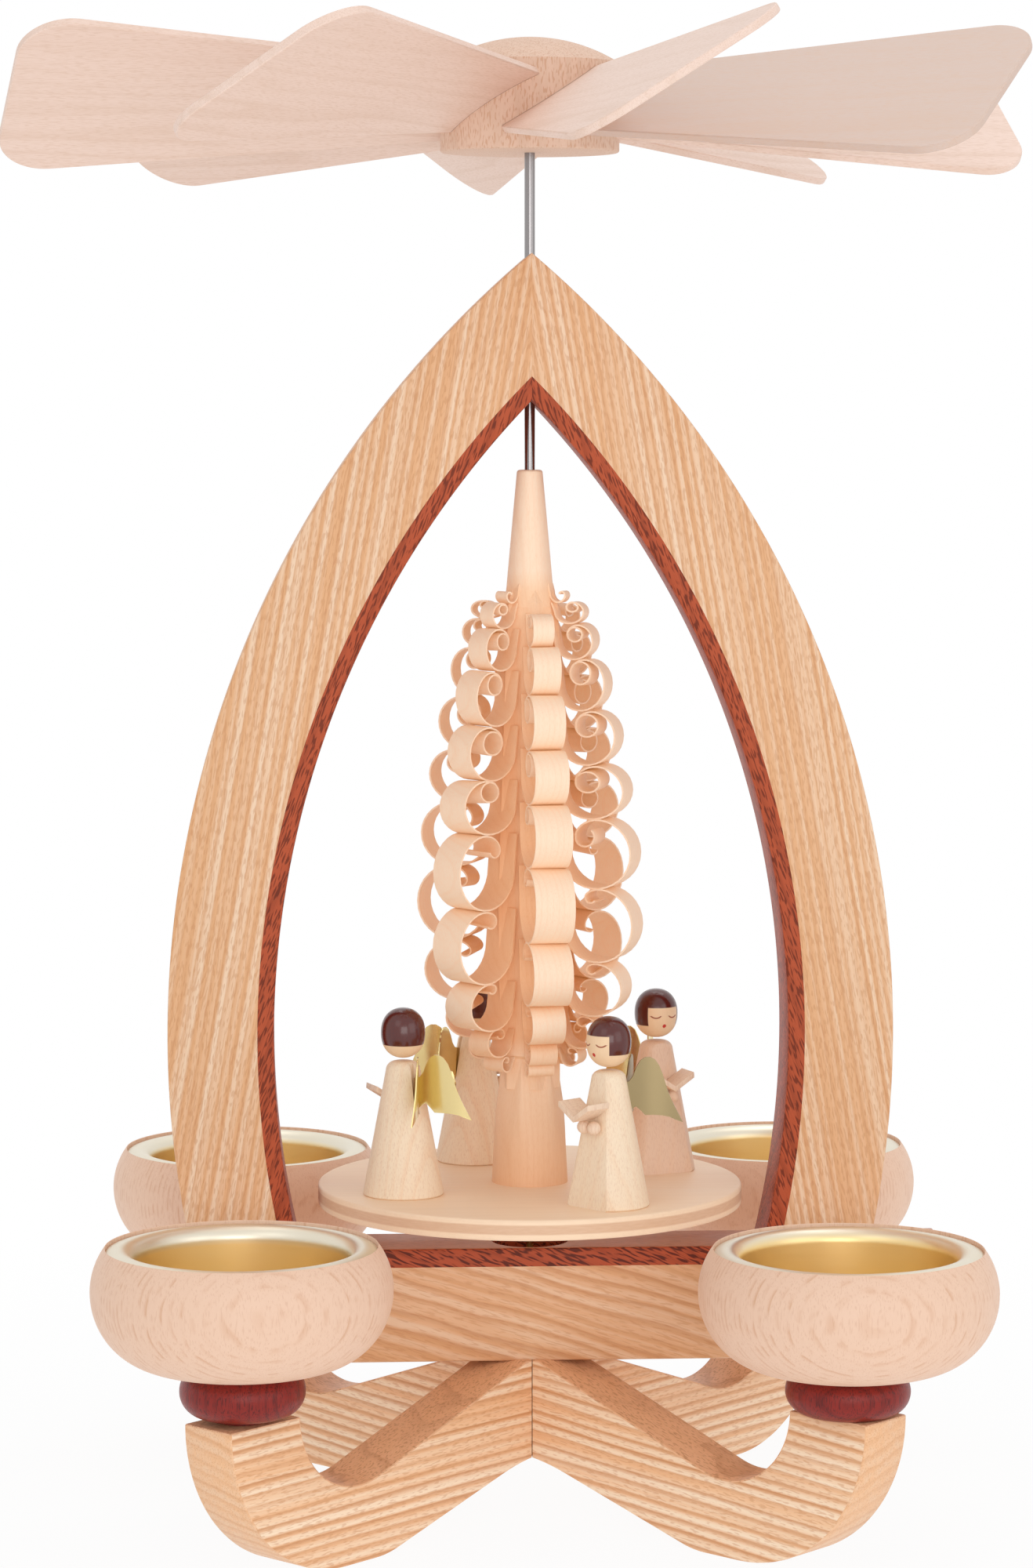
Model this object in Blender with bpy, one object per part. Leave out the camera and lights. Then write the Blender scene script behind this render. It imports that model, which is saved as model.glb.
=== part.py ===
"""Candle carousel: a wind-driven pyramid on a cross foot with four candle bowls.

Metres, +Z up, the floor at height 0 and the turning axis on the Z axis.
The arch stands in the XZ plane and the four arms point along the diagonals.
"""
import math

import bmesh
import bpy
from mathutils import Matrix, Vector

# Fits
seat_gap = 0.0003          # between two pieces that touch
bore_gap = 0.0003          # around a pin, shaft or tenon in its hole
cut_overrun = 0.010        # how far cuts run past the piece

# Foot beams
foot_thickness = 0.012
foot_end_flat = 0.0179     # length of the flat that carries a disc
foot_end_round = 0.030     # big round under the arm's end
foot_end_upright = 0.0004  # above the round
stand_flat_length = 0.008
stand_round = 0.020
foot_middle_height = 0.0301
foot_middle_round = 0.051  # easing of the underside at the crossing
valley_round = 0.0155
foot_crest = 0.0085        # half the flat at the crossing, from where the upper edge falls
under_rise_share = 0.29    # rise of the lower edge towards the crossing

# Rail on the crossing, with its strip
rail_overhang = 0.0145     # past the arch's foot
rail_thickness = 0.016
rail_height = 0.0181
rail_strip_thickness = 0.0035
rail_dowel_radius = 0.003
dowel_depth_in_rail = 0.0086
dowel_depth_in_foot = 0.0060
recess_radius = 0.0075
recess_depth = 0.0099

# Arch
arch_radius = 0.1965       # outer curve of each half
arch_side_clearance = 0.0084  # from the turntable's edge to the strip at the widest height
arch_wide_height = 0.093
arch_member_width = 0.017
arch_strip_width = 0.0031
bush_radius = 0.0023
bush_length = 0.014
bush_top_depth = 0.0065    # below the apex

# Discs, bowls and cups
disc_radius = 0.01155
disc_face_radius = 0.00715
disc_height = 0.0086
tenon_radius = 0.003
tenon_depth = 0.010        # in the arm
bowl_foot_radius = 0.0141
bowl_round = 0.0135
bowl_lower_height = 0.0140
bowl_upper_height = 0.0072
cup_flange_width = 0.00445
cup_flange_height = 0.0008
cup_radius = 0.0203
cup_depth = 0.0150
cup_wall = 0.0006
cup_corner = 0.002

# Bearing and pivot
bearing_radius = 0.0071
bearing_height = 0.0056
dimple_radius = 0.0034
dimple_depth = 0.0026
pin_radius = 0.00075
pin_point_length = 0.002
pin_depth_in_trunk = 0.014
shaft_radius = 0.001
shaft_depth_in_tree = 0.012

# Turntable
turntable_radius = 0.0412
bowl_clearance = 0.00965   # from the turntable's edge to a bowl
turntable_clearance = 0.0077  # above the rail's strip
turntable_thickness = 0.004
turntable_edge = 0.0004

# Shaving tree, its tiers from the top down with a spare entry above and two below
trunk_foot_radius = 0.0074
trunk_round_rise = 0.0085  # round part above the turntable
trunk_round_radius = 0.0070
trunk_hex_rise = 0.0215
cone_height = 0.0207
cone_foot_radius = 0.0051
tree_clearance = 0.0133    # below the inside of the apex
tree_top_radius = 0.0023
tree_top_edge = 0.0006
curls_over_cone_foot = 0.0004
curls_rise = 0.0209        # lowest curls above the turntable
curls_reach = 0.0215
curl_width = 0.0090
core_radius = 0.0075
tier_height_shares = (1, 0.948, 0.897, 0.814, 0.706, 0.599, 0.493, 0.344, 0.198, 0.103, 0.046, 0.015, 0)
tier_reach_shares = (0.46, 0.52, 0.63, 0.76, 0.85, 0.93, 1, 1, 0.865, 0.62, 0.45, 0.41, 0.41)
tier_width_shares = (0.36, 0.40, 0.57, 0.67, 0.72, 0.79, 0.86, 0.88, 0.82, 0.62, 0.58, 0.56, 0.56)
core_radius_shares = (0.65, 0.69, 0.73, 0.79, 0.84, 0.89, 0.95, 1, 0.99, 0.93, 0.89, 0.85, 0.83)
column_phase_shares = (0.42, -0.25, 0.15, -0.40, -0.50, 0.0)
first_column_angle = math.radians(-80)
curl_thickness = 0.00045
curl_split = 0.0004        # slit between a shaving's root and the trunk
curl_gap = 0.0005          # between curls
curl_shrink_share = 0.55   # loss of size in one full turn
curl_step = math.radians(45)
long_curl = math.radians(585)
short_curl = math.radians(450)
long_curl_half_height = 0.0021
peel_rise = 0.0030         # small peels above the first tier
peel_reach = 0.0045
peel_height = 0.0020
column_count = 6
tier_count = 10

# Angels
angel_edge_distance = 0.0132  # from an angel's middle to the turntable's edge
angel_circle_shares = (1.06, 1, 0.93, 1)
angel_angles = (math.radians(-63), math.radians(24), math.radians(112), math.radians(207))
angel_headings = (math.radians(-140), math.radians(-70), math.radians(28), math.radians(110))
wing_turns = (0, 0, 0, math.radians(13))
angel_foot_radius = 0.00775
angel_shoulder_radius = 0.0031
angel_shoulder_height = 0.0250
angel_neck_radius = 0.0017
angel_body_height = 0.0258
angel_front_foot = 0.0057  # flat front facet, distance from the middle at the foot
angel_front_top = 0.0026
head_radius = 0.00425
head_height = 0.0096
neck_socket = 0.0006
wing_slot_width = 0.0010
wing_slot_length = 0.0090
wing_slot_depth = 0.0022
wing_thickness = 0.0004
wing_half_angle = math.radians(38)
wing_tab_depth = 0.0016
wing_fold_height = 0.0210
wing_span = 0.0112
wing_height = 0.0123
wing_outline_shares = ((0, -0.33), (0.22, -0.34), (0.36, -0.39), (0.66, -0.37), (0.86, -0.41), (1, -0.45),
                       (0.83, -0.20), (0.74, 0.02), (0.69, 0.21), (0.63, 0.40), (0.50, 0.54), (0.33, 0.55),
                       (0.15, 0.47), (0, 0.28))
book_length = 0.0057
book_page_width = 0.0048
book_thickness = 0.0011
book_rise_angle = math.radians(33)
book_height = 0.0168
hand_radius = 0.0013

# Rotor
hub_radius = 0.0171
rotor_clearance = 0.0192   # above the apex
hub_side_height = 0.0169
hub_dome_height = 0.0049
hub_edge = 0.0003
hub_bore_depth = 0.0165
first_blade_angle = math.radians(-77.5)
blade_pitches = tuple(math.radians(slant) for slant in (32, 34, 35.5, 32, 36, 34.5, 34.5, 29))
blade_thickness = 0.0015
blade_root = 0.0123        # inner end from the axis
blade_tip = 0.1002
blade_root_width = 0.0212
blade_tip_width = 0.041
blade_corner = 0.0095
slot_rise = 0.0092         # slot centre above the hub's underside
rotor_slot_margin = 0.0010

# Fineness of round pieces
fine_segments = 48
bowl_segments = 24
disc_segments = 20
small_segments = 16
tiny_segments = 8
arch_steps = 20

# Heights and places that follow from the sizes above
arm_circle = turntable_radius + bowl_clearance + bowl_foot_radius + bowl_round
foot_reach = arm_circle + foot_end_flat / 2
foot_end_height = foot_end_round + foot_end_upright
cup_flange_radius = cup_radius + cup_flange_width
disc_bottom = foot_end_height + seat_gap
bowl_bottom = disc_bottom + disc_height + seat_gap
bowl_top = bowl_bottom + bowl_lower_height + bowl_upper_height
cup_top = bowl_top + seat_gap + cup_flange_height
cup_bottom = cup_top - cup_depth
rail_bottom = foot_middle_height + seat_gap
rail_top = rail_bottom + rail_height
strip_bottom = rail_top + seat_gap
strip_top = strip_bottom + rail_strip_thickness
recess_floor = strip_top - recess_depth
bearing_bottom = recess_floor + seat_gap
bearing_top = bearing_bottom + bearing_height
pin_tip = bearing_top - dimple_depth + seat_gap
arch_bottom = strip_top + seat_gap
arch_inner_radius = arch_radius - arch_member_width
strip_radius = arch_inner_radius - seat_gap
strip_inner_radius = strip_radius - arch_strip_width
arch_centre = strip_inner_radius - arch_side_clearance - turntable_radius
arch_foot = math.sqrt(arch_radius ** 2 - (arch_wide_height - arch_bottom) ** 2) - arch_centre
arch_apex = arch_wide_height + math.sqrt(arch_radius ** 2 - arch_centre ** 2)
strip_apex = arch_wide_height + math.sqrt(strip_inner_radius ** 2 - arch_centre ** 2)
rail_length = (arch_foot + rail_overhang) * 2
turntable_height = strip_top + turntable_clearance
turntable_top = turntable_height + turntable_thickness
angel_circle = turntable_radius - angel_edge_distance
trunk_bottom = turntable_top + seat_gap
trunk_round_top = turntable_top + trunk_round_rise
trunk_hex_height = turntable_top + trunk_hex_rise
curls_bottom = turntable_top + curls_rise
tree_top_height = strip_apex - tree_clearance
cone_foot_height = tree_top_height - cone_height
curls_top = cone_foot_height + curls_over_cone_foot
hub_bottom_height = arch_apex + rotor_clearance
dome_radius = (hub_radius ** 2 + hub_dome_height ** 2) / (2 * hub_dome_height)
hub_side_top = hub_bottom_height + hub_side_height

ash = ("ash", (0.73, 0.40, 0.19), 0.55, 0)
padauk = ("padauk", (0.30, 0.062, 0.032), 0.5, 0)
beech = ("beech", (0.84, 0.60, 0.45), 0.5, 0)
red_wood = ("red_wood", (0.19, 0.032, 0.032), 0.45, 0)
birch = ("birch", (0.87, 0.68, 0.51), 0.55, 0)
lime_wood = ("lime_wood", (0.93, 0.74, 0.54), 0.6, 0)
satin_gold = ("satin_gold", (0.68, 0.43, 0.11), 0.35, 1)
brass = ("brass", (0.72, 0.52, 0.18), 0.3, 1)
steel = ("steel", (0.55, 0.55, 0.56), 0.25, 1)
glass = ("glass", (0.85, 0.90, 0.90), 0.1, 0)
hair_brown = ("hair_brown", (0.08, 0.012, 0.008), 0.2, 0)


def material(node_name, look):
    """One Principled material for one piece, from a (kind, colour, roughness, metallic) look."""
    kind, colour, roughness, metallic = look
    made = bpy.data.materials.new(node_name + "_" + kind)
    made.use_nodes = True
    shader = made.node_tree.nodes["Principled BSDF"]
    shader.inputs["Base Color"].default_value = (*colour, 1)
    shader.inputs["Roughness"].default_value = roughness
    shader.inputs["Metallic"].default_value = metallic
    return made


def empty(name, place=(0, 0, 0), turn=0, parent=None):
    """Empty that carries the pieces of one moving body or one angel."""
    made = bpy.data.objects.new(name, None)
    bpy.context.scene.collection.objects.link(made)
    made.location = place
    made.rotation_euler = (0, 0, turn)
    made.parent = parent
    return made


def piece(name, mesh, look, place=(0, 0, 0), turn=0, parent=None, tilt=0):
    """Object for one sub-part, with its material on the object's own slot."""
    made = bpy.data.objects.new(name, mesh)
    bpy.context.scene.collection.objects.link(made)
    made.location = place
    made.rotation_euler = (tilt, 0, turn)
    made.parent = parent
    if not mesh.materials:
        mesh.materials.append(None)
    made.material_slots[0].link = "OBJECT"
    made.material_slots[0].material = material(name, look)
    return made


def cut(target, mesh, place=(0, 0, 0), turn=0, parent=None, tilt=0, lean=0):
    """Take the shape of a cutter mesh away from a piece."""
    number = len(target.modifiers)
    cutter = bpy.data.objects.new(f"{target.name}_cutter_{number}", mesh)
    bpy.context.scene.collection.objects.link(cutter)
    cutter.location = place
    cutter.rotation_euler = (tilt, lean, turn)
    cutter.parent = parent
    cutter.hide_render = True
    cutter.display_type = "WIRE"
    difference = target.modifiers.new(f"cut_{number}", "BOOLEAN")
    difference.operation = "DIFFERENCE"
    difference.solver = "EXACT"
    difference.object = cutter


def finish(name, shape, smooth=False):
    """Mesh from a bmesh, with its faces turned outwards."""
    bmesh.ops.recalc_face_normals(shape, faces=shape.faces)
    mesh = bpy.data.meshes.new(name)
    shape.to_mesh(mesh)
    shape.free()
    if smooth:
        for face in mesh.polygons:
            face.use_smooth = True
        mesh.set_sharp_from_angle(angle=math.radians(35))
    return mesh


def turned(name, outline, segments):
    """Turned body from (radius, height) points; radius 0 is a pole, otherwise the outline closes."""
    shape = bmesh.new()
    rings = []
    for radius, height in outline:
        if radius == 0:
            rings.append([shape.verts.new((0, 0, height))])
            continue
        ring = []
        for i in range(segments):
            angle = math.tau * i / segments
            ring.append(shape.verts.new((radius * math.cos(angle), radius * math.sin(angle), height)))
        rings.append(ring)
    pairs = list(zip(rings, rings[1:]))
    if len(rings[0]) > 1:
        pairs.append((rings[-1], rings[0]))
    for lower, upper in pairs:
        for i in range(segments):
            j = (i + 1) % segments
            if len(lower) == 1:
                shape.faces.new((lower[0], upper[i], upper[j]))
            elif len(upper) == 1:
                shape.faces.new((lower[i], lower[j], upper[0]))
            else:
                shape.faces.new((lower[i], lower[j], upper[j], upper[i]))
    return finish(name, shape, smooth=True)


def prism(name, outline, thickness):
    """Board with its outline in the XZ plane, centred on it."""
    shape = bmesh.new()
    front = [shape.verts.new((x, -thickness / 2, z)) for x, z in outline]
    back = [shape.verts.new((x, thickness / 2, z)) for x, z in outline]
    shape.faces.new(front)
    shape.faces.new(list(reversed(back)))
    for i in range(len(outline)):
        j = (i + 1) % len(outline)
        shape.faces.new((front[i], back[i], back[j], front[j]))
    return finish(name, shape)


def box(name, low, high):
    """Box between two corners."""
    shape = bmesh.new()
    bmesh.ops.create_cube(shape, size=1)
    size = Vector(high) - Vector(low)
    middle = (Vector(high) + Vector(low)) / 2
    bmesh.ops.scale(shape, vec=size, verts=shape.verts)
    bmesh.ops.translate(shape, vec=middle, verts=shape.verts)
    return finish(name, shape)


def cylinder(name, radius, bottom, top, segments=small_segments):
    """Plain cylinder on the Z axis."""
    return turned(name, [(0, bottom), (radius, bottom), (radius, top), (0, top)], segments)


def arc(centre, across, upright, start, end, steps):
    """Points of an ellipse's arc, the ends included."""
    points = []
    for i in range(steps + 1):
        angle = start + (end - start) * i / steps
        points.append((centre[0] + across * math.cos(angle), centre[1] + upright * math.sin(angle)))
    return points


def mirrored(half):
    """Outline from its right half, which runs from the lower middle round to the upper middle."""
    return half + [(-x, z) for x, z in reversed(half)]


def foot_beams():
    """Two beams halved into each other at the crossing."""
    under_angle = math.atan(under_rise_share)
    end_centre = foot_reach - foot_end_round
    stand_centre = end_centre - stand_flat_length
    under_line = (stand_round * (1 - math.cos(under_angle))
                  + under_rise_share * (stand_centre - stand_round * math.sin(under_angle)))
    middle_bottom = under_line - foot_middle_round * (1 / math.cos(under_angle) - 1)
    valley_centre = foot_reach - foot_end_flat - valley_round
    run, rise = valley_centre - foot_crest, foot_end_height - foot_middle_height
    top_angle = math.asin(valley_round / math.hypot(run, rise)) - math.atan2(rise, run)
    lap_height = (middle_bottom + foot_middle_height) / 2
    lap_half = foot_thickness / 2 + seat_gap

    down, right = -math.pi / 2, 0
    outside = arc((stand_centre, stand_round), stand_round, stand_round, down - under_angle, down, 2)
    outside += arc((end_centre, foot_end_round), foot_end_round, foot_end_round, down, right, 8)
    outside += [(foot_reach, foot_end_height), (foot_reach - foot_end_flat, foot_end_height)]
    outside += arc((valley_centre, foot_end_height), valley_round, valley_round, right,
                   -math.pi / 2 - top_angle, 9)[1:]
    outside.append((foot_crest, foot_middle_height))

    easing = (0, middle_bottom - foot_middle_round)
    lap_angle = math.asin(lap_half / foot_middle_round)
    whole = arc(easing, foot_middle_round, foot_middle_round, math.pi / 2, math.pi / 2 - under_angle, 3)
    lapped = arc(easing, foot_middle_round, foot_middle_round, math.pi / 2 - lap_angle,
                 math.pi / 2 - under_angle, 2)
    lower_half = whole[1:] + outside + [(lap_half, foot_middle_height), (lap_half, lap_height - seat_gap / 2)]
    upper_half = [(lap_half, lap_height + seat_gap / 2)] + lapped + outside

    tenon_hole = cylinder("tenon_hole", tenon_radius + bore_gap, foot_end_height - tenon_depth - seat_gap,
                          bowl_bottom)
    dowel_bottom = lap_height - dowel_depth_in_foot
    dowel_hole = cylinder("dowel_hole", rail_dowel_radius + bore_gap, dowel_bottom - seat_gap,
                          foot_middle_height + cut_overrun)
    for name, half, turn in (("foot_beam_lower", lower_half, math.pi / 4),
                             ("foot_beam_upper", upper_half, -math.pi / 4)):
        beam = piece(name, prism(name, mirrored(half), foot_thickness), ash, turn=turn)
        for side in (-1, 1):
            place = Matrix.Rotation(turn, 3, "Z") @ Vector((side * arm_circle, 0, 0))
            cut(beam, tenon_hole, place)
        cut(beam, dowel_hole)
    dowel = cylinder("rail_dowel", rail_dowel_radius, dowel_bottom, rail_bottom + dowel_depth_in_rail)
    piece("rail_dowel", dowel, beech)


def rail():
    """Rail and its strip, with the round recess for the bearing."""
    half = rail_length / 2
    recess = cylinder("recess", recess_radius, recess_floor, strip_top + cut_overrun, bowl_segments)

    def board(bottom, top):
        """Corners of a board as long as the rail."""
        return [(-half, bottom), (half, bottom), (half, top), (-half, top)]

    body = piece("cross_rail", prism("cross_rail", board(rail_bottom, rail_top), rail_thickness), ash)
    cut(body, recess)
    cut(body, cylinder("rail_dowel_hole", rail_dowel_radius + bore_gap, rail_bottom - cut_overrun,
                       rail_bottom + dowel_depth_in_rail + seat_gap))
    strip = prism("rail_strip", board(strip_bottom, strip_top), rail_thickness)
    cut(piece("rail_strip", strip, padauk), recess)


def arch():
    """Two arch halves mitred at the apex, their inner strips and the guide bush."""
    centre = (-arch_centre, arch_wide_height)
    mitre = seat_gap / 2

    def curve(radius):
        """Arc of one edge, from the rail's top to the mitre."""
        start = math.asin((arch_bottom - arch_wide_height) / radius)
        end = math.acos((arch_centre + mitre) / radius)
        return arc(centre, radius, radius, start, end, arch_steps)

    bush_top = arch_apex - bush_top_depth
    bush_bottom = bush_top - bush_length
    wide = cylinder("bush_hole", bush_radius + bore_gap, bush_bottom - seat_gap, bush_top + seat_gap)
    narrow = cylinder("shaft_hole", shaft_radius + bore_gap, strip_apex - cut_overrun,
                      arch_apex + cut_overrun)
    for side, sign in (("left", -1), ("right", 1)):
        for kind, outer, inner, look in (("arch_half", arch_radius, arch_inner_radius, ash),
                                         ("arch_strip", strip_radius, strip_inner_radius, padauk)):
            outline = [(sign * x, z) for x, z in curve(outer) + curve(inner)[::-1]]
            name = f"{kind}_{side}"
            made = piece(name, prism(name, outline, rail_thickness), look)
            cut(made, narrow)
            if kind == "arch_half":
                cut(made, wide)
    inside = shaft_radius + bore_gap
    bush = turned("guide_bush", [(inside, bush_bottom), (bush_radius, bush_bottom), (bush_radius, bush_top),
                                 (inside, bush_top)], small_segments)
    piece("guide_bush", bush, brass)


def bowls():
    """Disc, bowl and cup on each arm."""
    half = disc_height / 2
    disc_bore = tenon_radius + bore_gap
    disc_outline = arc((disc_face_radius, disc_bottom + half), disc_radius - disc_face_radius, half,
                       -math.pi / 2, math.pi / 2, 6)
    disc_outline += [(disc_bore, disc_bottom + disc_height), (disc_bore, disc_bottom)]
    disc = turned("spacer_disc", disc_outline, disc_segments)

    rim_angle = math.asin(bowl_upper_height / bowl_round)
    belly = (bowl_foot_radius, bowl_bottom + bowl_lower_height)
    inner = cup_radius + cup_wall / 2 + seat_gap
    floor = cup_bottom - cup_wall - seat_gap
    bowl_outline = [(0, foot_end_height - tenon_depth), (tenon_radius, foot_end_height - tenon_depth),
                    (tenon_radius, bowl_bottom)]
    bowl_outline += arc(belly, bowl_round, bowl_lower_height, -math.pi / 2, 0, 6)
    rim = arc(belly, bowl_round, bowl_round, 0, rim_angle, 3)[1:]
    bowl_outline += rim
    bowl_outline += [(inner, bowl_top), (inner, floor), (0, floor)]
    bowl = turned("candle_bowl", bowl_outline, bowl_segments)

    cup_floor = cup_bottom
    outside = cup_radius
    inside = cup_radius - cup_wall
    flange_bottom = cup_top - cup_flange_height
    cup_outline = [(0, cup_floor - cup_wall), (outside - cup_corner, cup_floor - cup_wall),
                   (outside, cup_floor - cup_wall + cup_corner), (outside, flange_bottom)]
    cup_outline += arc((cup_flange_radius - cup_flange_height / 2, (cup_top + flange_bottom) / 2),
                       cup_flange_height / 2, cup_flange_height / 2, -math.pi / 2, math.pi / 2, 2)
    cup_outline += [(inside, cup_top), (inside, cup_floor + cup_corner), (inside - cup_corner, cup_floor),
                    (0, cup_floor)]
    cup = turned("candle_cup", cup_outline, bowl_segments)

    for name, angle in (("front_left", 225), ("front_right", 315), ("back_right", 45), ("back_left", 135)):
        turn = math.radians(angle)
        place = (arm_circle * math.cos(turn), arm_circle * math.sin(turn), 0)
        piece(f"spacer_disc_{name}", disc, red_wood, place, turn)
        piece(f"candle_bowl_{name}", bowl, beech, place, turn)
        piece(f"candle_cup_{name}", cup, satin_gold, place, turn)


def bearing():
    """Glass cup that the pivot pin turns in."""
    bowl_radius = (dimple_radius ** 2 + dimple_depth ** 2) / (2 * dimple_depth)
    reach = math.asin(dimple_radius / bowl_radius)
    outline = [(0, bearing_bottom), (bearing_radius, bearing_bottom), (bearing_radius, bearing_top)]
    low = arc((0, bearing_top - dimple_depth + bowl_radius), bowl_radius, bowl_radius,
              reach - math.pi / 2, -math.pi / 2, 4)
    outline += low[:-1] + [(0, bearing_top - dimple_depth)]
    piece("bearing_cup", turned("bearing_cup", outline, small_segments), glass)


def at_phase(table, place):
    """Value between two entries of a tier table."""
    place = min(max(place, 0), len(table) - 1)
    low = min(int(place), len(table) - 2)
    return table[low] + (place - low) * (table[low + 1] - table[low])


def tier_height(place):
    """Height above the floor of a place in the tier tables."""
    return curls_bottom + (curls_top - curls_bottom) * at_phase(tier_height_shares, place)


def curl_path(root, middle, across, upright, end_angle):
    """Points of one shaving in (radius, height): down from its root, round and into a spiral."""
    points = [root]
    angle = math.pi
    while angle <= end_angle + curl_step / 2:
        size = 1 - curl_shrink_share * max(0, angle - math.tau) / math.tau
        points.append((middle[0] + across * size * math.cos(angle),
                       middle[1] + upright * size * math.sin(angle)))
        angle += curl_step
    return points


def grow_curl(shape, root_corners, path, width, turn):
    """Draw the four root corners out along a path into one shaving; returns nothing."""
    section = root_corners
    half_angle = math.tan(math.pi / column_count)
    for i in range(1, len(path)):
        before = path[i - 1]
        after = path[min(i + 1, len(path) - 1)]
        along = Vector((after[0] - before[0], after[1] - before[1])).normalized()
        across = Vector((-along.y, along.x)) * curl_thickness / 2
        corners = []
        for side, face in ((-1, 1), (1, 1), (1, -1), (-1, -1)):
            radius = path[i][0] + face * across.x
            height = path[i][1] + face * across.y
            half = min(width / 2, radius * half_angle - curl_gap)
            local = Vector((radius, side * half, height))
            corners.append(shape.verts.new(turn @ local))
        for j in range(4):
            k = (j + 1) % 4
            shape.faces.new((section[j], section[k], corners[k], corners[j]))
        section = corners
    shape.faces.new(section)


def shaving_tree(parent):
    """Tree cut from one turned blank, with six columns of curled shavings."""
    shape = bmesh.new()
    half_angle = math.tan(math.pi / column_count)
    turns = [Matrix.Rotation(first_column_angle + math.tau * k / column_count, 3, "Z")
             for k in range(column_count)]

    def round_ring(radius, height):
        """Ring of four points a column."""
        ring = []
        for turn in turns:
            for i in range(4):
                angle = math.tau / column_count * ((i + 0.5) / 4 - 0.5)
                local = Vector((radius * math.cos(angle), radius * math.sin(angle), height))
                ring.append(shape.verts.new(turn @ local))
        return ring

    def flat_ring(radii, heights):
        """Ring of two points a column, on the flats of the six-sided trunk."""
        ring = []
        for turn, radius, height in zip(turns, radii, heights):
            half = radius * half_angle - curl_gap / 2
            for side in (-1, 1):
                ring.append(shape.verts.new(turn @ Vector((radius, side * half, height))))
        return ring

    def join(upper, lower):
        """Faces between two rings of the same number of points."""
        for i in range(len(upper)):
            j = (i + 1) % len(upper)
            shape.faces.new((upper[i], lower[i], lower[j], upper[j]))

    def join_round_to_flat(rounded, flat):
        """Faces between a four-point and a two-point ring."""
        for k in range(column_count):
            a = rounded[4 * k:4 * k + 4]
            b = flat[2 * k:2 * k + 2]
            shape.faces.new((a[0], a[1], b[0]))
            shape.faces.new((a[1], a[2], b[1], b[0]))
            shape.faces.new((a[2], a[3], b[1]))
            following = (k + 1) % column_count
            shape.faces.new((a[3], rounded[4 * following], flat[2 * following], b[1]))

    def cap(ring, height):
        """Pole that closes a bore."""
        pole = shape.verts.new((0, 0, height))
        for i in range(len(ring)):
            shape.faces.new((ring[i], ring[(i + 1) % len(ring)], pole))

    upper_bore = shaft_radius + bore_gap
    lower_bore = pin_radius + bore_gap
    floor = tree_top_height - shaft_depth_in_tree - seat_gap
    rounds = [round_ring(upper_bore, floor), round_ring(upper_bore, tree_top_height),
              round_ring(tree_top_radius - tree_top_edge, tree_top_height),
              round_ring(tree_top_radius, tree_top_height - tree_top_edge),
              round_ring(cone_foot_radius, cone_foot_height)]
    cap(rounds[0], floor)
    for upper, lower in zip(rounds, rounds[1:]):
        join(upper, lower)

    peel_across = (peel_reach - curl_thickness) / 2
    previous = None
    for tier in range(tier_count + 1):
        places = [max(tier, 1) + share for share in column_phase_shares]
        heights = [tier_height(place) + (0 if tier else peel_rise) for place in places]
        radii = [core_radius * at_phase(core_radius_shares, place) for place in places]
        if tier == 0:
            radii = [cone_foot_radius] * column_count
        edge = flat_ring(radii, heights)
        split = flat_ring([radius - curl_thickness for radius in radii], heights)
        ledge = flat_ring([radius - curl_thickness - curl_split for radius in radii], heights)
        if previous is None:
            join_round_to_flat(rounds[-1], edge)
        else:
            join(previous, edge)
        join(split, ledge)
        for k in range(column_count):
            a, b = 2 * k, 2 * k + 1
            c = (b + 1) % len(edge)
            shape.faces.new((edge[b], split[b], split[c], edge[c]))
            root = (radii[k] - curl_thickness / 2, heights[k])
            if tier == 0:
                width = curl_width * tier_width_shares[0]
                middle = (radii[k] + curl_split + peel_across, heights[k] - peel_height)
                path = curl_path(root, middle, peel_across, peel_height / 2, short_curl)
            else:
                width = curl_width * at_phase(tier_width_shares, places[k])
                bottom = tier_height(places[k] + 1) + curl_gap
                top_size = 1 - curl_shrink_share / 4
                upright = (heights[k] - bottom - curl_thickness) / (1 + top_size)
                inside = radii[k] + curl_split + curl_thickness / 2
                reach = curls_reach * at_phase(tier_reach_shares, places[k])
                across = (reach - curl_thickness / 2 - inside) / 2
                middle = (inside + across, bottom + curl_thickness / 2 + upright)
                end = long_curl if upright > long_curl_half_height else short_curl
                path = curl_path(root, middle, across, upright, end)
            grow_curl(shape, [edge[a], edge[b], split[b], split[a]], path, width, turns[k])
        previous = ledge
    trunk_flat = trunk_round_radius * math.cos(math.pi / column_count)
    hex_foot = flat_ring([trunk_flat] * column_count, [trunk_hex_height] * column_count)
    join(previous, hex_foot)
    lower_rounds = [round_ring(trunk_round_radius, trunk_round_top),
                    round_ring(trunk_foot_radius, trunk_bottom),
                    round_ring(lower_bore, trunk_bottom),
                    round_ring(lower_bore, trunk_bottom + pin_depth_in_trunk + seat_gap)]
    join_round_to_flat(lower_rounds[0], hex_foot)
    for upper, lower in zip(lower_rounds, lower_rounds[1:]):
        join(upper, lower)
    cap(lower_rounds[-1], trunk_bottom + pin_depth_in_trunk + seat_gap)
    piece("shaving_tree", finish("shaving_tree", shape), lime_wood, parent=parent)


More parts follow.
